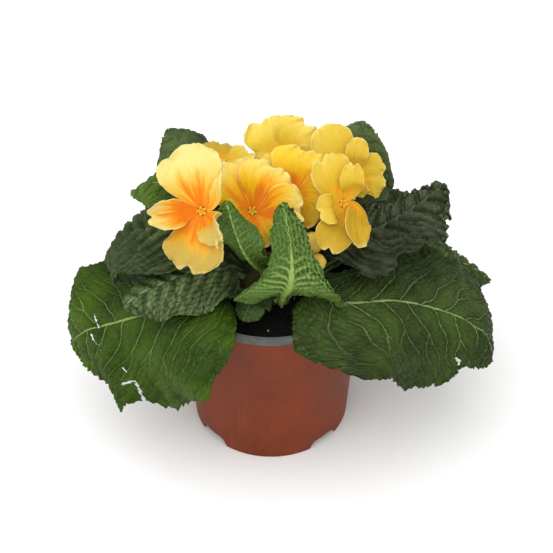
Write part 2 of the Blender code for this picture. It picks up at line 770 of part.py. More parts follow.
# Each bloom's throat, the bearing and rise that it faces, where its stalk leaves the rootstock, and how far
# its petals are turned round. Each petal has a turn, length, lean forward, half width, arch, fold, curl and
# twist.
BLOOMS = {
    "bloom_left": {
        "throat": (-29, -24, 143),
        "faces": (262, 40),
        "root": (-4.6, -1.6),
        "ring": 22,
        "petals": [
            (20, 29, 8, 14, 2, 2, 6, 6),
            (103, 24, 22, 7, 2, 12, 50, 0),
            (174, 27, 8, 13.5, 3, -6, -14, 4),
            (222, 22, 36, 7.5, 3, 8, 20, 55),
            (344, 22, -6, 7, 3, 8, 14, -62),
        ],
    },
    "bloom_front": {
        "throat": (-8, -9, 131),
        "faces": (270, 44),
        "root": (-1.8, -3.4),
        "ring": 40,
        "petals": [
            (34, 25, 3, 13.5, 2, 4, -8, 11),
            (106, 15, 3, 7.5, 2, 4, -8, 11),
            (186, 17, 3, 10, 2, 4, -10, 11),
            (266, 23, 5, 13, 2, 6, -12, 11),
            (334, 23, 5, 13, 2, 4, -8, 11),
        ],
    },
    "bloom_middle": {
        "throat": (10, 2, 133),
        "faces": (276, 46),
        "root": (1.6, -0.6),
        "ring": 42,
        "petals": [
            (50, 21, 4, 11, 2, 4, -8, 11),
            (118, 14, 4, 7, 2, 4, -8, 11),
            (188, 18, 8, 10, 2, 6, -10, 11),
            (258, 16, 5, 10, 2, 8, 8, 11),
            (340, 20.5, 6, 14, 2, 4, -8, 11),
        ],
    },
    "bloom_top": {
        "throat": (5, 26, 132),
        "faces": (266, 50),
        "root": (1.6, 3.0),
        "ring": 35,
        "petals": [
            (30, 22, 4, 11.5, 2, 4, -8, 11),
            (98, 14, 3, 5.8, 2, 4, -8, 11),
            (172, 12, 4, 6.5, 2, 4, -8, 9),
            (256, 17, 10, 10, 2, 4, -8, 9),
            (328, 22, 6, 12, 2, 4, -8, 11),
        ],
    },
    "bloom_top_left": {
        "throat": (-22, 21, 136),
        "faces": (95, 74),
        "root": (-3.6, 2.6),
        "ring": 36,
        "petals": [
            (36, 18, 10, 10, 1, 4, -8, 9),
            (108, 13, 10, 6, 1, 4, -8, 9),
            (180, 16, 10, 9, 1, 4, -8, 9),
            (252, 16, 10, 9, 1, 4, -8, 9),
            (324, 18, 10, 10, 1, 4, -8, 9),
        ],
    },
    "bloom_right": {
        "throat": (32, -10, 136),
        "faces": (296, 40),
        "root": (6.0, 1.8),
        "ring": 25,
        "petals": [
            (14, 23, 3, 10.5, 2, 8, 10, 9),
            (92, 14, 8, 7, 2, 8, 8, 9),
            (142, 23, 0, 8.5, 2, 4, -10, 6),
            (176, 22, 24, 6.5, 3, 10, 24, -10),
            (336, 19, 22, 5.5, 3, 10, 22, -50),
        ],
    },
    "bloom_top_right": {
        "throat": (36, 17, 129),
        "faces": (292, 42),
        "root": (4.4, 3.2),
        "ring": 40,
        "petals": [
            (20, 27, 3, 11.5, 2, 6, 8, 9),
            (100, 16, 4, 7.5, 2, 4, -8, 9),
            (184, 10, 6, 5.5, 2, 4, -8, 9),
            (262, 17, 6, 10.5, 2, 6, -12, 9),
            (336, 19, 14, 5.5, 2, 10, 24, -20),
        ],
    },
    "bloom_back": {
        "throat": (6, 58, 118),
        "faces": (86, 60),
        "root": (0.8, 6.6),
        "ring": 46,
        "petals": [
            (46, 21, 6, 12, 2, 4, -8, 9),
            (118, 21, 6, 12, 2, 4, -8, 9),
            (190, 21, 5, 12, 2, 4, -8, 9),
            (262, 18, 6, 10, 2, 4, -8, 9),
            (334, 21, 8, 12, 2, 4, -8, 9),
        ],
    },
}
BUDS = {
    "bud_upper": {
        "throat": (17, -10, 112),
        "faces": (290, 50),
        "root": (6.8, -2.6),
        "bud_length": 13,
        "bud_radius": 4.8,
    },
    "bud_lower": {
        "throat": (20, -18, 108),
        "faces": (290, 50),
        "root": (6.0, -5.8),
        "bud_length": 9,
        "bud_radius": 3.6,
    },
}


def make_blooms(collection, cutters, petals, green):
    for name, own in BLOOMS.items():
        bloom = {**BLOOM_HABIT, **own}
        make_corolla(name + "_petals", bloom, collection, petals)
        make_flower_stalk(name + "_stalk", bloom, collection, cutters, green)
    for name, bud in BUDS.items():
        make_bud(name + "_petals", bud, collection, petals)
        make_flower_stalk(name + "_stalk", bud, collection, cutters, green)


def main():
    clear_scene()
    plant = new_collection("potted_primrose")
    cutters = new_collection("cutters")
    plastic = material("pot_plastic", (0.29, 0.075, 0.042), 0.45)
    peat = material("peat", (0.016, 0.011, 0.008), 1.0)
    stock = material("rootstock_bark", (0.12, 0.11, 0.055), 0.8)
    leaf_green = material("leaf_green", (0.032, 0.075, 0.017), 0.55)
    petal_yellow = material("petal_yellow", (0.83, 0.56, 0.09), 0.6)
    stalk_green = material("stalk_green", (0.24, 0.33, 0.09), 0.6)
    make_pot(plant, cutters, plastic)
    make_soil(plant, peat)
    make_rootstock(plant, stock)
    make_leaves(plant, leaf_green)
    make_blooms(plant, cutters, petal_yellow, stalk_green)
    for piece in [*plant.objects, *cutters.objects]:
        piece.location = -Vector(BOX_MIDDLE) * MM


main()
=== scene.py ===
"""The looks of a potted primrose: a thin brown plastic pot of peat compost, and in it one plant with
crinkled leaves and yellow blooms. Sizes are in millimetres and are scaled to metres as each mesh is made.
The rules that place the leaves, stalks and petals are those of the solids, at a much finer spacing."""

import itertools
import math
import random

import bmesh
import bpy
import numpy as np
from mathutils import Matrix, Vector, noise


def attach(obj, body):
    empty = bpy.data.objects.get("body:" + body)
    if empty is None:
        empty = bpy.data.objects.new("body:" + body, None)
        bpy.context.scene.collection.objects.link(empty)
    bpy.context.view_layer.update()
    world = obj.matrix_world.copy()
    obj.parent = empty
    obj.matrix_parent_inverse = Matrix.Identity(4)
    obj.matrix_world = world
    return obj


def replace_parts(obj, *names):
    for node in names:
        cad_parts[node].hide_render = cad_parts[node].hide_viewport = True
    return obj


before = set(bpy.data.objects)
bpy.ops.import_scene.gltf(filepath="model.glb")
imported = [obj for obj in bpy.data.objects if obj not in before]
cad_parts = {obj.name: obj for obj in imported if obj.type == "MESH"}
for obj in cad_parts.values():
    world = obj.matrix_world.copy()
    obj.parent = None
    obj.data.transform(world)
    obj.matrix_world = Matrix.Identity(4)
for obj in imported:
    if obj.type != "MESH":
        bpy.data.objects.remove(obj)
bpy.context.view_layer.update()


# Pot. A thin nursery pot, moulded in one piece of red-brown plastic. It has a square lip, a raised floor
# with drain holes, and a foot ring that four notches break. Its lip is greyed by dust and handling.
MM = 0.001
FULL_TURN = 2 * math.pi
BOX_MIDDLE = (6.25, 9.9, 0)
POT_HEIGHT = 86.5
RIM_RADIUS = 45.0
LIP_HEIGHT = 3.6
WALL_TOP_RADIUS = 43.4
WALL_FOOT_RADIUS = 38.3
WALL = 1.2
FOOT_WIDTH = 2.4
FLOOR_UNDERSIDE = 5.6
FLOOR_TOP = 7.0
EDGE_ROUNDING = 0.5
SHARP_ANGLE = 35
POT_STEPS = 180
NOTCHES = 4
NOTCH_BEARING = 42.5
NOTCH_HEIGHT = 5.0
NOTCH_TOP_WIDTH = 12.5
NOTCH_FOOT_WIDTH = 17.5
NOTCH_ROUNDING = 2.0
NOTCH_CUT_LENGTH = 4 * FOOT_WIDTH
DRAIN_HOLES = 5
DRAIN_HOLE_RADIUS = 3.5
DRAIN_HOLE_RING = 21.0
DRAIN_CUT_LENGTH = 8.0


def shade(red, green, blue):
    """A colour as a screen shows it, from 0 to 255, in the linear light that a shader works in."""
    shown = [part / 255 for part in (red, green, blue)]
    return tuple(part / 12.92 if part < 0.04 else ((part + 0.055) / 1.055) ** 2.4 for part in shown)


class Field:
    """A value or a colour that varies over a surface: one output of a node. It takes plain arithmetic."""

    def __init__(self, finish, socket):
        self.finish = finish
        self.socket = socket

    def math(self, operation, other=0.0):
        return self.finish.field("ShaderNodeMath", {0: self, 1: other}, operation=operation)

    def __add__(self, other):
        return self.math("ADD", other)

    def __sub__(self, other):
        return self.math("SUBTRACT", other)

    def __mul__(self, other):
        return self.math("MULTIPLY", other)

    def __truediv__(self, other):
        return self.math("DIVIDE", other)

    def ranged(self, low, high, to_low=0.0, to_high=1.0):
        """The value from low to high, carried over evenly to another range and held at its ends."""
        feeds = {"Value": self, "From Min": low, "From Max": high, "To Min": to_low, "To Max": to_high}
        return self.finish.field("ShaderNodeMapRange", feeds)


class Finish:
    """A material with one shader, and the fields that vary its colour, its gloss and its fine relief."""

    def __init__(self, name, colour, roughness, specular=0.5):
        self.material = bpy.data.materials.new(name)
        self.material.use_nodes = True
        self.shader = self.material.node_tree.nodes["Principled BSDF"]
        self.shader.inputs["Base Color"].default_value = (*colour, 1)
        self.shader.inputs["Roughness"].default_value = roughness
        self.shader.inputs["Specular IOR Level"].default_value = specular

    def field(self, kind, feeds=None, output=0, **settings):
        """Adds a node and gives one of its outputs. Each feed is a number, a colour or a field."""
        made = self.material.node_tree.nodes.new(kind)
        for key, value in settings.items():
            setattr(made, key, value)
        for key, value in (feeds or {}).items():
            socket = made.inputs[key]
            if isinstance(value, Field):
                self.material.node_tree.links.new(value.socket, socket)
            else:
                socket.default_value = (*value, 1) if socket.type == "RGBA" else value
        return Field(self, made.outputs[output])

    def place(self):
        return self.field("ShaderNodeTexCoord", output="Object")

    def height(self, where):
        return self.field("ShaderNodeSeparateXYZ", {"Vector": where}, "Z")

    def stretched(self, where, scale):
        return self.field("ShaderNodeMapping", {"Vector": where, "Scale": scale})

    def kept(self, name):
        """A value that the mesh carries at each of its points."""
        return self.field("ShaderNodeAttribute", output="Fac", attribute_name=name)

    def grain(self, where, scale, detail=4, roughness=0.55):
        """Noise of so many lumps to a metre."""
        feeds = {"Vector": where, "Scale": scale, "Detail": detail, "Roughness": roughness}
        return self.field("ShaderNodeTexNoise", feeds)

    def mixed(self, share, first, second):
        """One colour changing to another as the share goes from 0 to 1."""
        feeds = {0: share, 6: first, 7: second}
        return self.field("ShaderNodeMix", feeds, output=2, data_type="RGBA")

    def paint(self, socket, field):
        """Leads a field into one of the shader's own inputs."""
        self.material.node_tree.links.new(field.socket, self.shader.inputs[socket])

    def bumped(self, relief, depth_mm, strength=1.0):
        feeds = {"Height": relief, "Distance": depth_mm * MM, "Strength": strength}
        self.paint("Normal", self.field("ShaderNodeBump", feeds))


def pointing(bearing, rise=0):
    """The direction at a bearing and a rise, in degrees."""
    turn, lift = math.radians(bearing), math.radians(rise)
    return np.array([math.cos(turn) * math.cos(lift), math.sin(turn) * math.cos(lift), math.sin(lift)])


def in_scene(name, data):
    made = bpy.data.objects.new(name, data)
    bpy.context.scene.collection.objects.link(made)
    return made


def object_from(name, shape):
    """An object from a bmesh. Shapes are made round the pot's axis, and moved to the box's middle here."""
    bmesh.ops.translate(shape, vec=-Vector(BOX_MIDDLE) * MM, verts=shape.verts)
    mesh = bpy.data.meshes.new(name)
    shape.to_mesh(mesh)
    shape.free()
    return in_scene(name, mesh)


def finished_object(name, shape, finishes):
    """A piece from a bmesh, with its finishes. It stands on the plant's one body."""
    made = object_from(name, shape)
    for finish in finishes:
        made.data.materials.append(finish.material)
    made.data.shade_smooth()
    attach(made, "root")
    return made


def turned(profile, steps):
    """A profile of (radius, height) points turned about the upright axis, as a closed shape."""
    shape = bmesh.new()
    corners = [shape.verts.new((radius * MM, 0, height * MM)) for radius, height in profile]
    edges = [shape.edges.new(pair) for pair in zip(corners, corners[1:])]
    spin = {"cent": (0, 0, 0), "axis": (0, 0, 1), "angle": FULL_TURN, "steps": steps, "use_merge": True}
    bmesh.ops.spin(shape, geom=corners + edges, **spin)
    bmesh.ops.remove_doubles(shape, verts=shape.verts, dist=0.000001)
    bmesh.ops.recalc_face_normals(shape, faces=shape.faces)
    return shape


def wall_radius(height):
    return WALL_FOOT_RADIUS + (WALL_TOP_RADIUS - WALL_FOOT_RADIUS) * height / POT_HEIGHT


def pot_plastic():
    """Red-brown plastic, dull and dusty, with a grey lip, pale specks and streaks of dried water."""
    finish = Finish("pot_plastic", shade(124, 54, 32), 0.45, 0.1)
    where = finish.place()
    clouds = finish.grain(where, 45, 5)
    colour = finish.mixed(clouds.ranged(0.35, 0.7), shade(110, 46, 22), shade(128, 56, 28))
    streaks = finish.grain(finish.stretched(where, (260, 260, 12)), 1, 6).ranged(0.55, 0.75, 0, 0.2)
    colour = finish.mixed(streaks, colour, shade(148, 84, 58))
    specks = finish.grain(where, 1400, 2).ranged(0.68, 0.74, 0, 0.5)
    colour = finish.mixed(specks, colour, shade(164, 112, 86))
    lip_foot = (POT_HEIGHT - LIP_HEIGHT) * MM
    lip = finish.height(where).ranged(lip_foot - 0.2 * MM, lip_foot + 0.3 * MM)
    dust = finish.mixed(finish.grain(where, 300, 6, 0.7), shade(48, 50, 48), shade(116, 118, 114))
    finish.paint("Base Color", finish.mixed(lip, colour, dust))
    finish.paint("Roughness", clouds.ranged(0.3, 0.7, 0.36, 0.5))
    finish.bumped(finish.grain(where, 900, 3), 0.05, 0.6)
    return finish


def notched(pot):
    """Cuts the four notches and the drain holes, and keeps the result as plain mesh."""
    cutters = []
    for index in range(NOTCHES):
        shape = bmesh.new()
        for corner in bmesh.ops.create_cube(shape, size=1)["verts"]:
            at_top = corner.co.z > 0
            width = NOTCH_TOP_WIDTH if at_top else 2 * NOTCH_FOOT_WIDTH - NOTCH_TOP_WIDTH
            corner.co.x = WALL_FOOT_RADIUS + corner.co.x * NOTCH_CUT_LENGTH
            corner.co.y *= width
            corner.co.z = NOTCH_HEIGHT if at_top else -NOTCH_HEIGHT
        upper = [edge for edge in shape.edges if all(corner.co.z > 0 for corner in edge.verts)]
        ends = [edge for edge in upper if abs(edge.verts[0].co.y - edge.verts[1].co.y) < 1]
        bevel = {"segments": 5, "profile": 0.5, "affect": "EDGES", "material": -1}
        bmesh.ops.bevel(shape, geom=ends, offset=NOTCH_ROUNDING, **bevel)
        bearing = math.radians(NOTCH_BEARING + 360 / NOTCHES * index)
        place = Matrix.Scale(MM, 4) @ Matrix.Rotation(bearing, 4, "Z")
        bmesh.ops.transform(shape, matrix=place, verts=shape.verts)
        cutters.append(shape)
    for index in range(DRAIN_HOLES):
        shape = bmesh.new()
        middle = pointing(360 / DRAIN_HOLES * index) * DRAIN_HOLE_RING
        middle[2] = FLOOR_UNDERSIDE
        place = Matrix.Translation(Vector(middle) * MM)
        radius = DRAIN_HOLE_RADIUS * MM
        size = {"radius1": radius, "radius2": radius, "depth": DRAIN_CUT_LENGTH * MM}
        bmesh.ops.create_cone(shape, cap_ends=True, segments=32, matrix=place, **size)
        cutters.append(shape)
    blocks = []
    for index, shape in enumerate(cutters):
        block = object_from(f"cutter_{index}", shape)
        cut = pot.modifiers.new("Cut", "BOOLEAN")
        cut.object = block
        blocks.append(block)
    bpy.context.view_layer.update()
    whole = bpy.data.meshes.new_from_object(pot.evaluated_get(bpy.context.evaluated_depsgraph_get()))
    pot.modifiers.clear()
    pot.data = whole
    for block in blocks:
        bpy.data.objects.remove(block, do_unlink=True)
    whole.set_sharp_from_angle(angle=math.radians(SHARP_ANGLE))


pot_profile = [
    (0, FLOOR_TOP),
    (wall_radius(FLOOR_TOP) - WALL, FLOOR_TOP),
    (WALL_TOP_RADIUS - WALL, POT_HEIGHT - EDGE_ROUNDING),
    (WALL_TOP_RADIUS - WALL + EDGE_ROUNDING, POT_HEIGHT),
    (RIM_RADIUS - EDGE_ROUNDING, POT_HEIGHT),
    (RIM_RADIUS - 0.3 * EDGE_ROUNDING, POT_HEIGHT - 0.3 * EDGE_ROUNDING),
    (RIM_RADIUS, POT_HEIGHT - EDGE_ROUNDING),
    (RIM_RADIUS, POT_HEIGHT - LIP_HEIGHT + EDGE_ROUNDING),
    (RIM_RADIUS - EDGE_ROUNDING, POT_HEIGHT - LIP_HEIGHT),
    (WALL_TOP_RADIUS + 0.2, POT_HEIGHT - LIP_HEIGHT - 0.2),
    (wall_radius(POT_HEIGHT - LIP_HEIGHT - 1), POT_HEIGHT - LIP_HEIGHT - 1),
    (wall_radius(EDGE_ROUNDING), EDGE_ROUNDING),
    (WALL_FOOT_RADIUS - EDGE_ROUNDING, 0),
    (WALL_FOOT_RADIUS - FOOT_WIDTH + EDGE_ROUNDING, 0),
    (WALL_FOOT_RADIUS - FOOT_WIDTH, EDGE_ROUNDING),
    (WALL_FOOT_RADIUS - FOOT_WIDTH, FLOOR_UNDERSIDE),
    (0, FLOOR_UNDERSIDE),
]
pot = finished_object("nursery_pot", turned(pot_profile, POT_STEPS), [pot_plastic()])
notched(pot)
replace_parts(pot, "pot")


# Compost. Dark, fibrous peat, filled to a little under the lip, with loose crumbs and a few white grains
# of perlite on top. The plant's rootstock sits in a hollow in it.
SOIL_TOP = 81.5
SOIL_RINGS = 34
SOIL_STEPS = 150
SOIL_GAP = 0.35
STOCK_CENTRE = 82.0
STOCK_RADIUS = 16.0
STOCK_HALF_HEIGHT = 11.0
SOCKET_OVERLAP = 3.0
SOCKET_DEPTH = 6.0
GRAIN_RING = (14, 41)
CRUMBS = 900
PERLITE_GRAINS = 26
GRAIN_RISE = 0.2
SOIL_CLODS = ((6.25, 2.0, (0, 0, 0)), (2.6, 0.9, (9, 0, 0)), (1.2, 0.4, (0, 7, 0)))


def peat():
    """Speckled dark peat with a few straw-coloured fibres; its near-black is partly painted shade."""
    finish = Finish("peat", shade(34, 27, 22), 0.95, 0.25)
    where = finish.place()
    fibres = finish.stretched(where, (1, 3, 1))
    speck = finish.grain(fibres, 700, 6, 0.7).ranged(0.35, 0.65)
    # Near-black tones: the peat's own dark colour, made darker still as painted shade from the leaves
    # above.
    dark = finish.mixed(speck, shade(3, 2, 2), shade(15, 11, 9))
    straw = finish.grain(fibres, 1500, 2).ranged(0.7, 0.76)
    finish.paint("Base Color", finish.mixed(straw, dark, shade(104, 82, 58)))
    finish.bumped(finish.grain(where, 1200, 5, 0.7), 0.5)
    return finish


def mottled(name, mean, roughness, specular, tones, grain, span=(0, 1)):
    """A finish whose colour wanders between two tones, with grain of a given scale and detail."""
    finish = Finish(name, shade(*mean), roughness, specular)
    share = finish.grain(finish.place(), *grain).ranged(*span)
    finish.paint("Base Color", finish.mixed(share, *(shade(*tone) for tone in tones)))
    return finish


def soil_lift(x, y):
    """How far the compost's surface rises or falls, in millimetres: clods of three widths and heights."""
    spot = Vector((x, y, 0))
    return sum(noise.noise(spot / wide + Vector(start)) * high for wide, high, start in SOIL_CLODS)


def make_compost():
    hole = STOCK_RADIUS - SOCKET_OVERLAP
    top_radius = wall_radius(SOIL_TOP) - WALL - SOIL_GAP
    floor = FLOOR_TOP + SOIL_GAP
    profile = [(0, SOIL_TOP - SOCKET_DEPTH), (hole - 1, SOIL_TOP - SOCKET_DEPTH)]
    for ring in range(SOIL_RINGS + 1):
        profile.append((hole + (top_radius - hole) * ring / SOIL_RINGS, SOIL_TOP))
    profile += [(wall_radius(floor) - WALL - SOIL_GAP, floor), (0, floor)]
    shape = turned(profile, SOIL_STEPS)
    for corner in shape.verts:
        if abs(corner.co.z / MM - SOIL_TOP) < 0.01:
            corner.co.z += soil_lift(corner.co.x / MM, corner.co.y / MM) * MM
    return finished_object("peat_compost", shape, [peat_finish])


def make_grains(name, count, sizes, detail, finish, draw):
    """Loose grains that lie on the compost, at places drawn from a seeded order."""
    shape = bmesh.new()
    for _ in range(count):
        bearing = draw.uniform(0, FULL_TURN)
        out = math.sqrt(draw.uniform(*(radius**2 for radius in GRAIN_RING)))
        size = draw.uniform(*sizes)
        x, y = out * math.cos(bearing), out * math.sin(bearing)
        place = Matrix.Translation(Vector((x, y, SOIL_TOP + soil_lift(x, y) + size * GRAIN_RISE)) * MM)
        turn = Matrix.Rotation(draw.uniform(0, FULL_TURN), 4, Vector((draw.random(), draw.random(), 1)))
        squash = Matrix.Diagonal((1, draw.uniform(0.5, 1), draw.uniform(0.4, 0.9), 1))
        made = bmesh.ops.create_icosphere(shape, subdivisions=detail, radius=size * MM)["verts"]
        for corner in made:
            corner.co *= draw.uniform(0.75, 1.15)
        bmesh.ops.transform(shape, matrix=place @ turn @ squash, verts=made)
    return finished_object(name, shape, [finish])


peat_finish = peat()
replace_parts(make_compost(), "compost")
make_grains("compost_crumbs", CRUMBS, (0.35, 1.3), 1, peat_finish, random.Random(11))
perlite = mottled("perlite", (205, 202, 192), 0.85, 0.5, ((160, 154, 142), (226, 224, 216)), (800, 3))
make_grains("perlite_grains", PERLITE_GRAINS, (0.5, 1.1), 2, perlite, random.Random(5))


# Rootstock. The plant's short fleshy stem, half buried, ringed with the feet of its leaves. It shows only
# as a dark brown-green knob between the stalks.
STOCK_RIDGES = 13
STOCK_RIDGE_SHARE = 0.035
BARK_TONES = ((38, 34, 20), (84, 86, 48))


def make_rootstock():
    shape = bmesh.new()
    bmesh.ops.create_uvsphere(shape, u_segments=104, v_segments=52, radius=1)
    for corner in shape.verts:
        bearing = math.atan2(corner.co.y, corner.co.x)
        wave = math.cos(STOCK_RIDGES * bearing + 5 * corner.co.z)
        ridge = 1 + STOCK_RIDGE_SHARE * wave * (1 - corner.co.z**2)
        corner.co.x *= STOCK_RADIUS * ridge * MM
        corner.co.y *= STOCK_RADIUS * ridge * MM
        corner.co.z = (STOCK_CENTRE + corner.co.z * STOCK_HALF_HEIGHT) * MM
    bark = mottled("rootstock_bark", (60, 58, 34), 0.75, 0.2, BARK_TONES, (260, 6, 0.65), (0.3, 0.7))
    bark.bumped(bark.grain(bark.place(), 700, 5), 0.4)
    return finished_object("fleshy_rootstock", shape, [bark])


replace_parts(make_rootstock(), "rootstock")


# Leaves. Each is one soft blade on a short stalk, and grows from the rootstock. It has a pale midrib, side
# veins that curve forward and fork, and between them a fine net of veins with the green puffed up in it.
TIER_ANGLES = (15, 40, 62)
STALK_STARTS = (-0.6, 5.0)
SPINE_STATIONS = 121
ROUTE_STEPS = 12
CAD_ROWS = 12
STALK_HALF_WIDTH = 2.5
SIDES_OUT_OF_STEP = 2.2
EDGE_TOOTH = 0.035
TIP_PULL = 0.07
LEAF_SPACING = 0.62
BLADE_THICKNESS = 0.45
RIB_THICKNESS = 2.2
RIB_WIDTH = 0.34
RIB_KEEL_HALF_WIDTH = 1.6
LATERAL_THICKNESS = 0.55
LATERAL_HALF_WIDTH = 0.9
LEFT_NOISE_SHIFT = 37.0
LEFT_VEIN_SHIFT = 0.45
VEIN_WANDER = 0.12
QUILT_SLOPE = 0.24
CELL_STRETCH = 1.15
TOOTH_PITCH = 3.1
TOOTH_DEPTH = 0.85
TEAR_PITCH = 4.0
RAGGED_PITCH = 24.0
FRILL_PITCH = 11.0
VEIN_CURVE = 0.4
FORK_START = 0.4
FORK_SPREAD = 2.2
FORK_LENGTH = 0.2
FORK_BEND = 0.5
FORK_SIDE_STEP = 4.1
FORK_SHIFT_STEP = 2.4
FORK_SHIFT = 0.15

# A pair is a leaf's left and right. A longer row of values runs evenly from its foot to its tip. The folds
# are in degrees up from level beside the rib, and the curls in degrees from there to the edge. A tear goes
# from one place to another, each given along and out from the rib, and then has its width.
LEAF_HABIT = {
    "tier": 0,
    "half_widths": (30, 30),
    "stalk": 0.14,
    "widest": 0.62,
    "tip": 0.4,
    "lobes": (0, 0),
    "outline": (),
    "left_fold": (35, 5, -5),
    "right_fold": (35, 5, -5),
    "left_curl": (0, -20, -30),
    "right_curl": (0, -20, -30),
    "wave": (2.5, 2.5, 0.0),
    "green": "dark",
    "rib": (1.2, 0.8, 0.55, 0.4, 0.2),
    "pale": (1, 1),
    "grey_green_half": (0, 0),
    "ragged": 0.03,
    "slope": 0.6,
    "vein_gap": 8.0,
    "cell": 2.8,
    "quilt": 1.2,
    "puff": (0.8, 0.8),
    "groove_shade": 0.0,
    "bold": (1, 1),
    "blanch": (0, 0),
    "frill": 0.7,
    "teeth": 1.0,
    "tears": (),
}

TALL_LEAF = {
    "tier": 1,
    "stalk": 0.3,
    "green": "dull",
    "ragged": 0.01,
    "quilt": 0.5,
    "puff": (0.25, 0.25),
    "frill": 0.3,
    "teeth": 0.3,
}

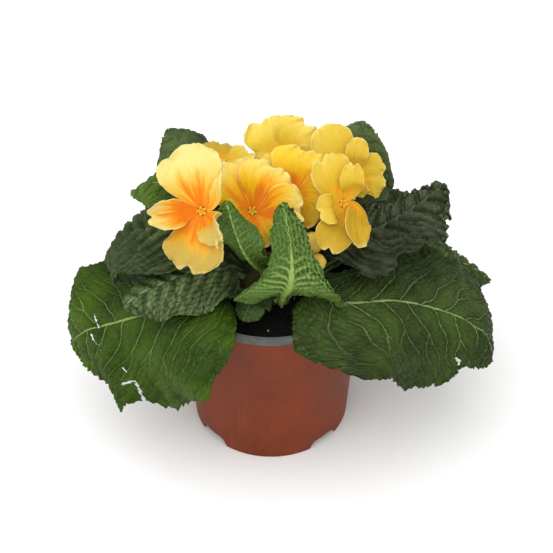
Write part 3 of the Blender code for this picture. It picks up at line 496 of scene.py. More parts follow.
LEAVES = {
    "leaf_left_broad": {
        "bearing": 205, "root": 218,
        "spine": [
            (-28, -26.5, 95), (-44, -31.5, 95), (-58, -31, 89), (-72, -27, 80), (-86, -22, 70),
            (-94, -16, 57),
        ],
        "half_widths": (44, 46), "widest": 0.5, "tip": 0.65, "lobes": (0.26, 0.05),
        "left_fold": (30, -8, -36, -10), "right_fold": (30, -8, -8, 4), "left_curl": (0, -20, -20, -30),
        "green": "yellow", "rib": (1.4, 1.1, 0.8, 0.35, 0.1), "slope": 0.95, "vein_gap": 12.0,
        "cell": 3.4, "puff": (0.6, 0.6), "quilt": 0.7, "ragged": 0.06,
        "tears": (
            (88, -7, 84, 1, 0.8), (89.5, 1, 88, 6, 1.0), (88, 6, 86, 12, 0.6), (84, 28.5, 79, 29, 0.9),
            (78.5, 29, 83, 45, 1.0), (91.6, 31, 92, 40, 0.8), (79.5, 21, 79.5, 24, 0.4),
        ),
    },
    "leaf_left_crinkled": {
        "bearing": 200, "root": 193, "tier": 1,
        "spine": [(-22, -18, 105), (-34, -25, 110), (-47, -31, 108), (-56, -34, 105), (-64, -36, 99)],
        "half_widths": (19, 21), "widest": 0.5, "left_fold": (30, -15, -20, -20),
        "right_fold": (30, -5, -10), "left_curl": (0, -30, -30, -30), "green": "grey", "vein_gap": 7.5,
        "cell": 2.6, "puff": (0.7, 0.7), "quilt": 1.3, "groove_shade": 0.6, "pale": (0.15, 0.15),
        "ragged": 0.01, "frill": 0.4, "teeth": 0.35,
    },
    "leaf_left_ribbed": {
        "bearing": 172, "root": 166, "tier": 1,
        "spine": [(-24, -2, 112), (-44, -10, 121), (-58, -8, 119), (-68, -3, 110), (-74, 0, 98)],
        "half_widths": (25, 28), "tip": 0.75, "right_fold": (35, 0, -8), "green": "dull", "vein_gap": 6.5,
        "quilt": 1.9, "pale": (0.4, 0.4), "cell": 2.4, "groove_shade": 0.4, "teeth": 0.6,
    },
    "leaf_left_far": {
        "bearing": 155, "root": 148,
        "spine": [(-26, 21, 101), (-42, 32, 110), (-57, 37, 111), (-67, 37, 105)],
        "half_widths": (20, 22), "green": "bright", "puff": (0.3, 0.3), "quilt": 0.8, "ragged": 0.01,
        "frill": 0.4, "teeth": 0.4,
    },
    "leaf_left_tall": {
        **TALL_LEAF, "bearing": 140, "root": 128, "half_widths": (23, 16),
        "spine": [(-16, 24, 106), (-31, 36, 121), (-42, 42, 130), (-49, 44, 136)],
    },
    "leaf_right_tall": {
        **TALL_LEAF, "bearing": 42, "root": 50, "half_widths": (17, 27),
        "spine": [(21, 26, 103), (33, 38, 119), (41, 42, 132), (45, 43, 141)],
    },
    "leaf_right_curly": {
        "bearing": 8, "root": 8, "tier": 1,
        "spine": [(31, -2, 107), (49, -4, 117), (65, 4, 122), (79, 13, 128)], "half_widths": (18, 22),
        "widest": 0.55, "tip": 0.45, "wave": (4.0, 3.0, 0.2), "right_curl": (0, -30, -30),
        "green": "dusky", "quilt": 2.4, "puff": (0.9, 0.9), "groove_shade": 0.3, "frill": 2.6, "ragged": 0.08,
        "teeth": 0.6,
    },
    "leaf_right_broad": {
        "bearing": 348, "root": 326,
        "spine": [
            (20, -20, 93), (34, -29, 95), (55, -28, 95), (75, -25, 87), (89, -23, 78), (101, -24, 66),
            (103, -26, 54),
        ],
        "half_widths": (40, 37), "widest": 0.56, "tip": 0.5, "lobes": (0.05, 0.32), "stalk": 0.07,
        "left_fold": (30, 0, 0, 0), "right_fold": (30, -10, -28, -30), "left_curl": (0, -10, -10, -10),
        "green": "mid", "rib": (1.0, 0.8, 0.55, 0.25, 0.08), "slope": 0.85, "vein_gap": 12.5, "cell": 3.2,
        "quilt": 0.8,
        "tears": ((101, -17, 112, -24, 1.2), (98, -18, 104, -17.5, 0.9), (108, -20, 116, -28, 2.4)),
    },
    "leaf_right_low": {
        "bearing": 14, "root": 3, "spine": [(40, 14, 89), (75, 20, 81), (98, 25, 68), (108, 28, 57)],
        "half_widths": (18, 15), "green": "mid",
    },
    "leaf_right_middle": {
        "bearing": 22, "root": 30, "spine": [(32, 18, 98), (55, 24, 104), (70, 27, 103), (81, 28, 98)],
        "half_widths": (20, 18),
    },
    # This leaf takes the default dark green, which here is partly painted shade, as it lies low in shade
    # at the front.
    "leaf_front_small": {
        "bearing": 245, "root": 246, "spine": [(-7.5, -24, 93.5), (-9.5, -32, 95.5), (-12, -40, 94)],
        "half_widths": (9, 7), "widest": 0.5, "vein_gap": 4.0, "cell": 1.8, "puff": (0.4, 0.4),
        "quilt": 0.5, "frill": 0.2, "teeth": 0.5,
    },
    "young_leaf_left": {
        "bearing": 250, "root": 252, "tier": 2,
        "spine": [(-6, -18, 108), (-11, -25, 122), (-15, -28, 138), (-18, -28, 152)],
        "half_widths": (10, 12), "tip": 0.3, "left_fold": (35, 15, 15), "right_fold": (35, 15, 15),
        "green": "fresh", "rib": (0.65, 0.42, 0.32, 0.25, 0.15), "pale": (0.28, 0.28), "vein_gap": 4.6,
        "cell": 1.8, "puff": (0.15, 0.15), "quilt": 0.2, "frill": 0.25, "teeth": 0.4,
    },
    "young_leaf_right": {
        "bearing": 272, "root": 284,
        "spine": [(6, -25, 98), (8.5, -31, 108), (9, -34, 120), (8, -32, 133), (5, -25, 148)],
        "half_widths": (26, 25), "stalk": 0.2,
        "outline": (0.1, 0.11, 0.12, 0.3, 0.8, 1.0, 0.6, 0.4, 0.34, 0.28, 0.17), "lobes": (0.16, 0.32),
        "left_fold": (0, -5, -10, 20, 22), "right_fold": (0, -5, -10, 20, 22),
        "left_curl": (0, -30, -20, 0, 0), "right_curl": (0, -30, -20, 0, 0), "green": "young",
        "rib": (2.2, 2.0, 1.4, 0.3, 0.05, 0.05, 0.05), "pale": (1, 1, 1, 0.8, 0, 0, 0),
        "bold": (3.2, 3.2, 3.0, 2.0, 1.0, 1.0, 1.0), "blanch": (1, 1, 1, 0.7, 0.25, 0.1, 0, 0, 0, 0, 0),
        "grey_green_half": (0.9, 0), "vein_gap": 5.2, "cell": 2.2, "puff": (1.2, 0.1), "quilt": 0.3, "frill": 0.5,
        "teeth": 0.7,
    },
    "leaf_back_left": {
        "bearing": 118, "root": 106,
        "spine": [(-14, 33, 92), (-26, 55, 92), (-36, 71, 82), (-41, 80, 69)], "half_widths": (22, 18),
    },
    "leaf_back": {
        "bearing": 88, "root": 82, "spine": [(6, 32, 96), (7, 54, 99), (7, 72, 94), (6, 86, 81)],
        "half_widths": (18, 20), "green": "mid",
    },
    "leaf_back_right": {
        "bearing": 58, "root": 58, "spine": [(18, 28, 91), (34, 50, 89), (45, 66, 79), (50, 75, 66)],
        "half_widths": (22, 22),
    },
}

# Each green: the blade's deep and light tones, its veins, and the underside's tone and ribs.
GREENS = {
    "dark": ((31, 45, 17), (62, 81, 38), (88, 110, 64), (80, 102, 56), (126, 146, 92)),
    "dusky": ((36, 42, 26), (82, 92, 62), (94, 108, 76), (80, 96, 60), (120, 138, 90)),
    "dull": ((40, 54, 26), (90, 108, 62), (98, 116, 76), (86, 106, 62), (126, 146, 92)),
    "grey": ((60, 78, 40), (126, 146, 94), (128, 146, 100), (92, 114, 70), (136, 154, 104)),
    "mid": ((30, 47, 10), (62, 82, 28), (142, 160, 98), (90, 114, 58), (146, 164, 108)),
    "yellow": ((30, 54, 4), (66, 94, 10), (146, 168, 92), (92, 120, 48), (146, 166, 98)),
    "bright": ((56, 84, 16), (92, 120, 40), (120, 152, 72), (94, 124, 54), (146, 168, 100)),
    "fresh": ((40, 70, 2), (92, 124, 6), (170, 190, 100), (66, 100, 26), (146, 176, 90)),
    "young": ((44, 78, 6), (92, 130, 24), (186, 202, 134), (66, 100, 26), (146, 176, 90)),
}


def stock_point(bearing, rise, clear):
    """A place at a bearing and a rise, in degrees, this far off the rootstock, square to its surface."""
    low, high = math.cos(math.radians(rise)), math.sin(math.radians(rise))
    square = math.hypot(STOCK_HALF_HEIGHT * low, STOCK_RADIUS * high)
    place = pointing(bearing) * (STOCK_RADIUS + clear * STOCK_HALF_HEIGHT / square) * low
    place[2] = STOCK_CENTRE + STOCK_HALF_HEIGHT * high + clear * STOCK_RADIUS * high / square
    return place


def smooth_route(points, count):
    """`count` places evenly spaced along one smooth curve through the points."""
    places = np.array(points, float)
    steps = np.linalg.norm(np.diff(places, axis=0), axis=1)[:, None]
    slopes = np.diff(places, axis=0) / steps
    inner = (slopes[:-1] * steps[1:] + slopes[1:] * steps[:-1]) / (steps[1:] + steps[:-1])
    ways = np.vstack([slopes[:1], inner, slopes[-1:]])
    share = np.linspace(0, 1, ROUTE_STEPS, endpoint=False)[:, None]
    fine = [
        (1 + 2 * share) * (1 - share) ** 2 * start
        + share**2 * (3 - 2 * share) * end
        + step * share * (1 - share) * ((1 - share) * way_in - share * way_out)
        for start, end, step, way_in, way_out in zip(places, places[1:], steps, ways, ways[1:])
    ]
    fine = np.vstack([*fine, places[-1:]])
    run = np.concatenate([[0], np.cumsum(np.linalg.norm(np.diff(fine, axis=0), axis=1))])
    even = np.linspace(0, run[-1], count)
    return np.stack([np.interp(even, run, fine[:, axis]) for axis in range(3)], axis=1)


def unit(vectors):
    return vectors / np.linalg.norm(vectors, axis=-1, keepdims=True)


def stations(values, along):
    """A value that changes along the blade, given at even steps from its foot to its tip."""
    return np.interp(along, np.linspace(0, 1, len(values)), values)


def side_sweep(width, fold, curl, across):
    """How far a half blade reaches sideways and lifts, leaving the rib at `fold` and bending by `curl`."""
    start = np.radians(fold)
    bend = np.radians(np.where(np.abs(curl) < 0.5, 0.5, curl))
    end = start + bend * across
    reach = width * (np.sin(end) - np.sin(start)) / bend
    lift = width * (np.cos(start) - np.cos(end)) / bend
    return reach, lift


def drawn(cells, seed):
    """Two numbers from 0 to 1 for each cell of a net, the same each time."""
    x, y = cells[..., 0], cells[..., 1]
    first = np.sin(x * 127.1 + y * 311.7 + seed * 17.3) * 43758.5453
    second = np.sin(x * 269.5 + y * 183.3 + seed * 29.9) * 24634.6345
    return np.stack([first % 1, second % 1], axis=-1)


def net(x, y, seed):
    """How far a point is from the border of its cell, in a net of irregular cells one unit wide."""
    spots = np.stack([x, y], axis=-1)
    home = np.floor(spots)
    nearest = np.full(x.shape, 9.0)
    second = nearest.copy()
    for step in itertools.product((-1, 0, 1), repeat=2):
        cell = home + step
        distance = np.linalg.norm(cell + 0.5 + 0.75 * (drawn(cell, seed) - 0.5) - spots, axis=-1)
        second = np.minimum(second, np.maximum(distance, nearest))
        nearest = np.minimum(nearest, distance)
    return second - nearest


def soft_noise(run, pitch, seed):
    """A smooth irregular wave from -1 to 1 along a run, with bumps about this far apart."""
    waves = ((1.0, 0.5), (1.73, 0.3), (2.9, 0.2))
    return sum(size * np.sin(FULL_TURN * run / pitch * rate + seed * rate * 5.1) for rate, size in waves)


def grid_spots(corners):
    """Where the points of a new grid lie: from 0 to 1 along it, and from -1 to 1 across it."""
    spots = np.array([corner.co for corner in corners])
    return (spots[:, 0] + 1) / 2, spots[:, 1]


def move_to(corners, places):
    for corner, place in zip(corners, places):
        corner.co = Vector(place) * MM


def swept(spine, side, up, station, reach, lift):
    """Places by a spine: each at its own station, this far to the side and this far up from it."""
    tracks = np.hstack([spine, side, up]).T
    at = np.stack([np.interp(station, range(len(spine)), track) for track in tracks], axis=1)
    return at[:, :3] + at[:, 3:6] * reach[:, None] + at[:, 6:] * lift[:, None]


def leaf_half_width(leaf, along, left):
    """The half width of a leaf on one side, a narrow stalk and then a blade with a rounded end, and how
    far along the blade each point is."""
    widest = np.where(left, *leaf["half_widths"])
    blade = np.clip((along - leaf["stalk"]) / (1 - leaf["stalk"]), 0, 1)
    peak = leaf["widest"]
    rising = np.sin(math.pi / 2 * np.clip(blade / peak, 0, 1))
    past = np.clip((blade - peak) / (1 - peak), 0, 1)
    falling = np.sqrt(1 - (1 - leaf["tip"] ** 2) * past**2)
    growing = STALK_HALF_WIDTH + (widest - STALK_HALF_WIDTH) * rising
    width = np.where(blade > peak, widest * falling, growing)
    if leaf["outline"]:
        width = widest * stations(leaf["outline"], along)
    return width, blade


def leaf_places(leaf, along, across, seed):
    """Where the points of a leaf's upper face lie, and the leaf's own map of them: how far along the rib
    and how far out from it in millimetres, and the share of the blade's length."""
    stock = [stock_point(leaf["root"], TIER_ANGLES[leaf["tier"]], clear) for clear in STALK_STARTS]
    spine = smooth_route([*stock, *leaf["spine"]], SPINE_STATIONS)
    length = np.linalg.norm(np.diff(spine, axis=0), axis=1).sum()
    way = unit(np.gradient(spine, axis=0))
    level = pointing(leaf["bearing"] + 90)
    side = unit(level - (way @ level)[:, None] * way)

    left = across > 0
    out = np.abs(across)
    widest = max(leaf["half_widths"])
    width, blade = leaf_half_width(leaf, along, left)
    width = width * (1 + EDGE_TOOTH * np.where(blade > 0, np.cos(math.pi * along * CAD_ROWS), 0) * out)
    on_blade = np.clip(blade * 6, 0, 1)
    run = along * length + np.where(left, LEFT_NOISE_SHIFT, 0)
    teeth = soft_noise(run, TOOTH_PITCH, seed) + 0.8 * soft_noise(run, TOOTH_PITCH * 3.3, seed + 2)
    width = width * (1 + leaf["ragged"] * on_blade * out**3 * soft_noise(run, RAGGED_PITCH, seed + 6))
    width = width + TOOTH_DEPTH * leaf["teeth"] * teeth * on_blade * out**5
    fold, curl = (
        np.where(left, stations(leaf["left_" + bend], along), stations(leaf["right_" + bend], along))
        for bend in ("fold", "curl")
    )
    reach, lift = side_sweep(width, fold, curl, out)
    strength, waves, phase = leaf["wave"]
    ripple = np.sin(FULL_TURN * (waves * along + phase) + np.where(left, SIDES_OUT_OF_STEP, 0))
    lift = lift + strength * out**2 * ripple * width / widest
    lift = lift + leaf["frill"] * on_blade * out**3 * soft_noise(run, FRILL_PITCH, seed + 1)
    lobe = np.where(left, *leaf["lobes"]) * np.sin(math.pi * blade) ** 2 * (1 - blade)
    end_teeth = 0.012 * soft_noise(across * widest, TOOTH_PITCH * 1.6, seed + 3)
    back = along * (1 - TIP_PULL * out**2 * blade**3) - lobe * out**2 + end_teeth * along**24
    station = np.clip(back, 0, 1) * (SPINE_STATIONS - 1)
    places = swept(spine, side, np.cross(way, side), station, reach * np.sign(across), lift)
    return places, along * length, width * out, blade


def leaf_veins(leaf, run, reach, blade, across, seed):
    """What the veins follow, at each point: the number of its side vein, how far it is from the border of
    its small cell, how far the face stands up, how deep it lies in a fold (how much painted shade the
    upper face gets there), the rib's half width there, and how much the rib or a side vein thickens it."""
    left = across > 0
    out = np.abs(across)
    gap, cell, swell = leaf["vein_gap"], leaf["cell"], leaf["quilt"]
    on_blade = np.clip(blade * 8, 0, 1)
    climb = leaf["slope"] * reach + VEIN_CURVE * reach**2 / max(leaf["half_widths"])
    number = (run - climb) / gap + np.where(left, LEFT_VEIN_SHIFT, 0)
    number = number + 0.1 * soft_noise(reach + 3 * np.where(left, 1, -1), 30.0, seed)
    number = number + VEIN_WANDER * soft_noise(run, 26.0, seed + 4)
    whole = np.round(number)
    off = (number - whole) * np.sign(np.sin(FORK_SIDE_STEP * whole))
    past = out - FORK_START - FORK_SHIFT * np.sin(FORK_SHIFT_STEP * whole)
    fork = FORK_SPREAD * np.clip(past, 0, FORK_LENGTH)
    nearest = np.minimum(np.abs(off + FORK_BEND * fork), np.abs(off - fork)) * gap
    lateral = np.exp(-((nearest / LATERAL_HALF_WIDTH) ** 2)) * (1 - 0.5 * out) * on_blade
    rib = stations(leaf["rib"], blade)
    midrib = np.exp(-((reach / (0.4 + rib)) ** 2)) * np.clip(rib, 0, 1)
    cells = net(number * gap / cell, reach / cell * CELL_STRETCH, seed) * cell
    quilt = swell * (1 - np.exp(-((nearest / gap / QUILT_SLOPE) ** 2))) * (1 - 0.4 * out)
    puff = np.where(left, *leaf["puff"])
    puffed = puff * np.clip(cells / cell * 1.8, 0, 1) ** 0.7
    raised = (quilt + puffed) * on_blade * (1 - midrib)
    relief = raised - 0.5 * lateral * swell - 0.8 * midrib
    # How deep the point lies in a fold, which the upper face shows as painted shade.
    fold_shade = np.clip(1 - raised / (swell + puff), 0, 1) * np.clip((swell + puff) / 1.6, 0, 1)
    return number, cells, relief, fold_shade, rib, np.maximum(midrib, lateral * 0.8)


def vein_lines(finish, width):
    """The pale lines of the midrib and the side veins, from the fields that the leaf's mesh carries."""
    number = finish.kept("vein_number")
    out = finish.kept("rank")
    whole = number.math("ROUND")
    off = (number - whole) * (whole * FORK_SIDE_STEP).math("SINE").math("SIGN")
    shift = (whole * FORK_SHIFT_STEP).math("SINE") * FORK_SHIFT
    fork = (out - FORK_START - shift).ranged(0.0, FORK_LENGTH, 0.0, FORK_SPREAD * FORK_LENGTH)
    nearest = (off + fork * FORK_BEND).math("ABSOLUTE").math("MINIMUM", (off - fork).math("ABSOLUTE"))
    nearest = nearest * (finish.kept("vein_gap") / finish.kept("bold"))
    side = nearest.ranged(0.1 * width, 0.5 * width, 1.0, 0.0) * out.ranged(0.1, 0.9, 1.0, 0.0)
    rib = (finish.kept("reach") / finish.kept("rib")).ranged(0.5, 1.0, 1.0, 0.0)
    return (side * finish.kept("on_blade")).math("MAXIMUM", rib)


def leaf_upper(name, deep, light, vein):
    """The green side: a soft low shine, uneven tone, painted shade in folds and cell grooves, veins that
    show paler.
    """
    finish = Finish(name, deep, 0.5, 0.13)
    where = finish.place()
    colour = finish.mixed(finish.grain(where, 45, 5, 0.6).ranged(0.38, 0.62), deep, light)
    speckle = finish.grain(where, 900, 4, 0.65).ranged(0.3, 0.7, 0.0, 0.35)
    colour = finish.mixed(speckle, colour, light)
    # One half of a blade can be a duller grey-green.
    colour = finish.mixed(finish.kept("grey_green_half"), colour, shade(58, 76, 42))
    # Painted shade: the colour turns to a dim copy of the deep green where the blade lies deep in a fold.
    fold_shade = finish.kept("fold_shade").ranged(0.2, 1.0, 0.0, 0.8)
    colour = finish.mixed(fold_shade, colour, [part * 0.3 for part in deep])
    cells = finish.kept("cells")
    colour = finish.mixed(cells.ranged(0.05, 0.55, 0.15, 0.0), colour, vein)
    # Painted shade: the borders of the small cells darken, as far as the leaf's own setting allows.
    groove_shade = cells.ranged(0.1, 0.7, 1.0, 0.0) * finish.kept("groove_shade")
    colour = finish.mixed(groove_shade, colour, [part * 0.25 for part in deep])
    colour = finish.mixed(finish.kept("blanch"), colour, shade(178, 184, 132))
    finish.paint("Base Color", finish.mixed(vein_lines(finish, 0.62) * 0.85, colour, vein))
    finish.bumped(cells.ranged(0.0, 0.8) + finish.grain(where, 1500, 3) * 0.35, 0.3, 0.8)
    return finish


def leaf_under(name, pale, rib):
    """The underside: paler and duller, with every vein raised."""
    finish = Finish(name, pale, 0.65, 0.3)
    where = finish.place()
    colour = finish.mixed(finish.grain(where, 90, 4), [part * 0.75 for part in pale], pale)
    fine = finish.kept("cells").ranged(0.1, 0.7, 0.3, 0.0)
    colour = finish.mixed(fine, colour, rib)
    finish.paint("Base Color", finish.mixed(vein_lines(finish, 1.0), colour, rib))
    finish.bumped(fine + finish.grain(where, 1500, 3) * 0.3, 0.3, 0.8)
    return finish


def keep_values(mesh, fields):
    """Keeps values at the mesh's points for its finish to read: a row for all of them, or one for all."""
    for name, values in fields.items():
        layer = mesh.attributes.new(name, "FLOAT", "POINT")
        layer.data.foreach_set("value", np.full(len(mesh.vertices), values, np.float32))


def shell_on(obj, thickness, offset):
    """Gives an open sheet a thickness: all under its upper face for -1, and half to each side for 0."""
    shell = obj.modifiers.new("Thickness", "SOLIDIFY")
    shell.thickness = thickness * MM
    shell.offset = offset
    return shell


def thicken(obj, depths):
    """Gives an open sheet its own thickness at each point, measured down from its upper face."""
    deepest = float(np.max(depths))
    group = obj.vertex_groups.new(name="thickness")
    for index, value in enumerate(depths):
        group.add([index], float(value) / deepest, "REPLACE")
    shell = shell_on(obj, deepest, -1)
    shell.vertex_group = group.name
    shell.material_offset = 1


def torn(made, leaf, run, reach):
    """Opens the leaf's old tears as ragged slits."""
    shape = bmesh.new()
    shape.from_mesh(made.data)
    spots = np.stack([run, reach], axis=1)
    corners = [[corner.index for corner in face.verts] for face in shape.faces]
    middles = np.array([spots[own].mean(axis=0) for own in corners])
    gone = np.zeros(len(middles), bool)
    for x0, y0, x1, y1, width in leaf["tears"]:
        start, way = np.array([x0, y0]), np.array([x1 - x0, y1 - y0])
        share = np.clip((middles - start) @ way / (way @ way), 0, 1)
        off = np.linalg.norm(middles - start - share[:, None] * way, axis=1)
        ragged = width * (0.65 + 0.4 * soft_noise(share * np.linalg.norm(way), TEAR_PITCH, x0))
        gone |= off < ragged * np.sqrt(share * (1 - share) * 4 + 0.15)
    faces = [face for face, lost in zip(shape.faces, gone) if lost]
    bmesh.ops.delete(shape, geom=faces, context="FACES")
    shape.to_mesh(made.data)
    shape.free()


def make_leaf(name, leaf, finishes, seed):
    start = stock_point(leaf["root"], TIER_ANGLES[leaf["tier"]], 0)
    length = np.linalg.norm(np.diff([start, *leaf["spine"]], axis=0), axis=1).sum()
    rows = int(length / LEAF_SPACING)
    columns = 2 * int(sum(leaf["half_widths"]) / 2 / LEAF_SPACING)
    shape = bmesh.new()
    bmesh.ops.create_grid(shape, x_segments=rows, y_segments=columns, size=1)
    along, across = grid_spots(shape.verts)
    places, run, reach, blade = leaf_places(leaf, along, across, seed)
    number, cells, relief, fold_shade, rib, raised = leaf_veins(leaf, run, reach, blade, across, seed)
    surface = places.reshape(columns + 1, rows + 1, 3)
    square = np.cross(np.gradient(surface, axis=1), np.gradient(surface, axis=0))
    move_to(shape.verts, places + unit(square + 1e-9).reshape(-1, 3) * relief[:, None])
    made = finished_object(name + "_blade", shape, finishes)
    fields = {
        "vein_number": number,
        "vein_gap": leaf["vein_gap"],
        "cells": cells,
        "fold_shade": fold_shade,
        "reach": reach,
        "rib": rib,
        "rank": np.abs(across),
        "on_blade": np.clip(blade * 8, 0, 1) * stations(leaf["pale"], blade),
        "grey_green_half": np.where(across > 0, *leaf["grey_green_half"]),
        "groove_shade": leaf["groove_shade"],
        "bold": stations(leaf["bold"], blade),
        "blanch": stations(leaf["blanch"], along),
    }
    keep_values(made.data, fields)
    near_rib = np.clip(1 - np.abs(across) / RIB_WIDTH, 0, 1)
    rib_depth = np.where(blade > 0, np.exp(-((reach / RIB_KEEL_HALF_WIDTH) ** 2)), near_rib)
    depth = BLADE_THICKNESS + (RIB_THICKNESS - BLADE_THICKNESS) * rib_depth * (1 - 0.75 * along)
    thicken(made, depth + LATERAL_THICKNESS * raised)
    if leaf["tears"]:
        torn(made, leaf, run, reach * np.sign(across))
    return made


leaf_finishes = {
    name: [
        leaf_upper("leaf_upper_" + name, *(shade(*tone) for tone in tones[:3])),
        leaf_under("leaf_under_" + name, *(shade(*tone) for tone in tones[3:])),
    ]
    for name, tones in GREENS.items()
}
for leaf_order, (leaf_name, own) in enumerate(LEAVES.items()):
    leaf_habit = {**LEAF_HABIT, **own}
    blade = make_leaf(leaf_name, leaf_habit, leaf_finishes[leaf_habit["green"]], leaf_order + 1)
    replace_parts(blade, leaf_name)


# Blooms and buds. Each bloom is five notched petals round a narrow throat, on a thin tube. The petals are
# yellow with frilled edges, and orange streaks fan out of the throat. A bud is the same, still furled.
PETALS = 5
CAD_PETAL_ROWS = 4
PETAL_ROWS = 30
PETAL_COLUMNS = 32
PETAL_THICKNESS = 0.32
CLAW_HALF_WIDTH = 1.7
PETAL_WIDEST = 0.66
PETAL_END = 0.45
PETAL_BEND = 0.55
PETAL_FOOT_LIFT = 0.6
NOTCH_DEPTH = 0.1
NOTCH_HALF_WIDTH = 0.26
# How far painted shade darkens a petal that hangs straight down.
HANGING_SHADE_DEPTH = 0.72
PLEAT_DEPTH = 0.16
PLEAT_PITCH = 0.5
CREASE_DEPTH = 0.35
CREASE_HALF_WIDTH = 0.12
PETAL_FRILL_PITCH = 9.0
FINE_FRILL_PITCH = 4.5
TIP_ROUNDING = 0.16
THROAT_RADIUS = 1.5
RING_RADIUS = 2.1
EYE_DEPTHS = (-0.6, -0.6, 0.1, 0.55, 0.4, -0.3, -1.4, -1.4)
EYE_RADII = (0.0, 0.7, 0.95, 1.3, 1.8, 1.8, 1.7, 0.0)
EYE_SIDES = 40
STIGMA_RADIUS = 0.55
STIGMA_DEPTH = 0.4
TUBE_RADIUS = 1.75
TUBE_LENGTH = 12.0
TUBE_ROWS = 12
TUBE_SIDES = 30
TUBE_ALONG = 0.02
# The field lower carries the painted shade of a petal that hangs down.
PETAL_FIELDS = ("along", "across", "petal_seed", "lower", "flush")
CALYX_FOOT = 14.5
CALYX_MOUTH = 3.5
CALYX_RADIUS = 2.9
CALYX_THICKNESS = 0.4
CALYX_TOOTH = 3.0
CALYX_ROWS = 30
CALYX_SIDES = 60
STEM_RADIUS = 0.8
STEM_DEPTH_IN_STOCK = 0.4
STEM_DEPTH_IN_CALYX = 0.6
STEM_STIFFNESS = 0.4
STEM_STATIONS = 26
STEM_SIDES = 12
BUD_ROWS = 44
BUD_SIDES = 90
BUD_STOPS = (0.15, 0.45, 0.8, 0.95, 1.0)
BUD_SWELL = (0.7, 1.0, 0.75, 0.4, 0.0)
BLOOM_HABIT = {
    "ring": 0,
    "ruffle": 1.5,
    "yellow": "golden",
    "notch_at": (0, 0, 0, 0, 0),
    "flush": (0, 0, 0, 0, 0),
}

# Each petal has a turn, length, lean forward, half width, arch, fold, curl and twist. It is notched at the
# place across its tip that notch_at gives, from -1 to 1. At 2, past its edge, it has no notch.
BLOOMS = {
    "bloom_left": {
        "throat": (-29, -24, 143), "faces": (262, 40), "root": (-4.6, -1.6), "ring": 22,
        "yellow": "cream", "notch_at": (0.62, 0, -0.1, 0, 0), "flush": (0.05, 0.4, 0.12, 0.05, 0),
        "petals": [
            (20, 29, 8, 14, 2, 2, 6, 6),
            (103, 24, 22, 7, 2, 12, 50, 0),
            (174, 27, 8, 13.5, 3, -6, -14, 4),
            (222, 22, 36, 7.5, 3, 8, 20, 55),
            (344, 22, -6, 7, 3, 8, 14, -62),
        ],
    },
    "bloom_front": {
        "throat": (-8, -9, 131), "faces": (270, 44), "root": (-1.8, -3.4), "ring": 40, "yellow": "flame",
        "notch_at": (-0.6, 0, 0, 0.2, 0), "flush": (0.08, 0, 0.05, 0.15, 0.1),
        "petals": [
            (34, 25, 3, 13.5, 2, 4, -8, 11),
            (106, 15, 3, 7.5, 2, 4, -8, 11),
            (186, 17, 3, 10, 2, 4, -10, 11),
            (266, 23, 5, 13, 2, 6, -12, 11),
            (334, 23, 5, 13, 2, 4, -8, 11),
        ],
    },
    "bloom_middle": {
        "throat": (10, 2, 133), "faces": (276, 46), "root": (1.6, -0.6), "ring": 42, "yellow": "amber",
        "petals": [
            (50, 21, 4, 11, 2, 4, -8, 11),
            (118, 14, 4, 7, 2, 4, -8, 11),
            (188, 18, 8, 10, 2, 6, -10, 11),
            (258, 16, 5, 10, 2, 8, 8, 11),
            (340, 20.5, 6, 14, 2, 4, -8, 11),
        ],
    },
    "bloom_top": {
        "throat": (5, 26, 132), "faces": (266, 50), "root": (1.6, 3.0), "ring": 35,
        "petals": [
            (30, 22, 4, 11.5, 2, 4, -8, 11),
            (98, 14, 3, 5.8, 2, 4, -8, 11),
            (172, 12, 4, 6.5, 2, 4, -8, 9),
            (256, 17, 10, 10, 2, 4, -8, 9),
            (328, 22, 6, 12, 2, 4, -8, 11),
        ],
    },
    "bloom_top_left": {
        "throat": (-22, 21, 136), "faces": (95, 74), "root": (-3.6, 2.6), "ring": 36, "ruffle": 0.8,
        "notch_at": (2, 2, 2, 2, 2),
        "petals": [
            (36, 18, 10, 10, 1, 4, -8, 9),
            (108, 13, 10, 6, 1, 4, -8, 9),
            (180, 16, 10, 9, 1, 4, -8, 9),
            (252, 16, 10, 9, 1, 4, -8, 9),
            (324, 18, 10, 10, 1, 4, -8, 9),
        ],
    },
    "bloom_right": {
        "throat": (32, -10, 136), "faces": (296, 40), "root": (6.0, 1.8), "ring": 25, "ruffle": 0.8,
        "notch_at": (0, 0, 0, 2, 0), "yellow": "ochre",
        "petals": [
            (14, 23, 3, 10.5, 2, 8, 10, 9),
            (92, 14, 8, 7, 2, 8, 8, 9),
            (142, 23, 0, 8.5, 2, 4, -10, 6),
            (176, 22, 24, 6.5, 3, 10, 24, -10),
            (336, 19, 22, 5.5, 3, 10, 22, -50),
        ],
    },
    "bloom_top_right": {
        "throat": (36, 17, 129), "faces": (292, 42), "root": (4.4, 3.2), "ring": 40, "ruffle": 0.8,
        "notch_at": (2, 0, 0, 0, 2), "yellow": "ochre",
        "petals": [
            (20, 27, 3, 11.5, 2, 6, 8, 9),
            (100, 16, 4, 7.5, 2, 4, -8, 9),
            (184, 10, 6, 5.5, 2, 4, -8, 9),
            (262, 17, 6, 10.5, 2, 6, -12, 9),
            (336, 19, 14, 5.5, 2, 10, 24, -20),
        ],
    },
    "bloom_back": {
        "throat": (6, 58, 118), "faces": (86, 60), "root": (0.8, 6.6), "ring": 46,
        "petals": [
            (46, 21, 6, 12, 2, 4, -8, 9),
            (118, 21, 6, 12, 2, 4, -8, 9),
            (190, 21, 5, 12, 2, 4, -8, 9),
            (262, 18, 6, 10, 2, 4, -8, 9),
            (334, 21, 8, 12, 2, 4, -8, 9),
        ],
    },
}
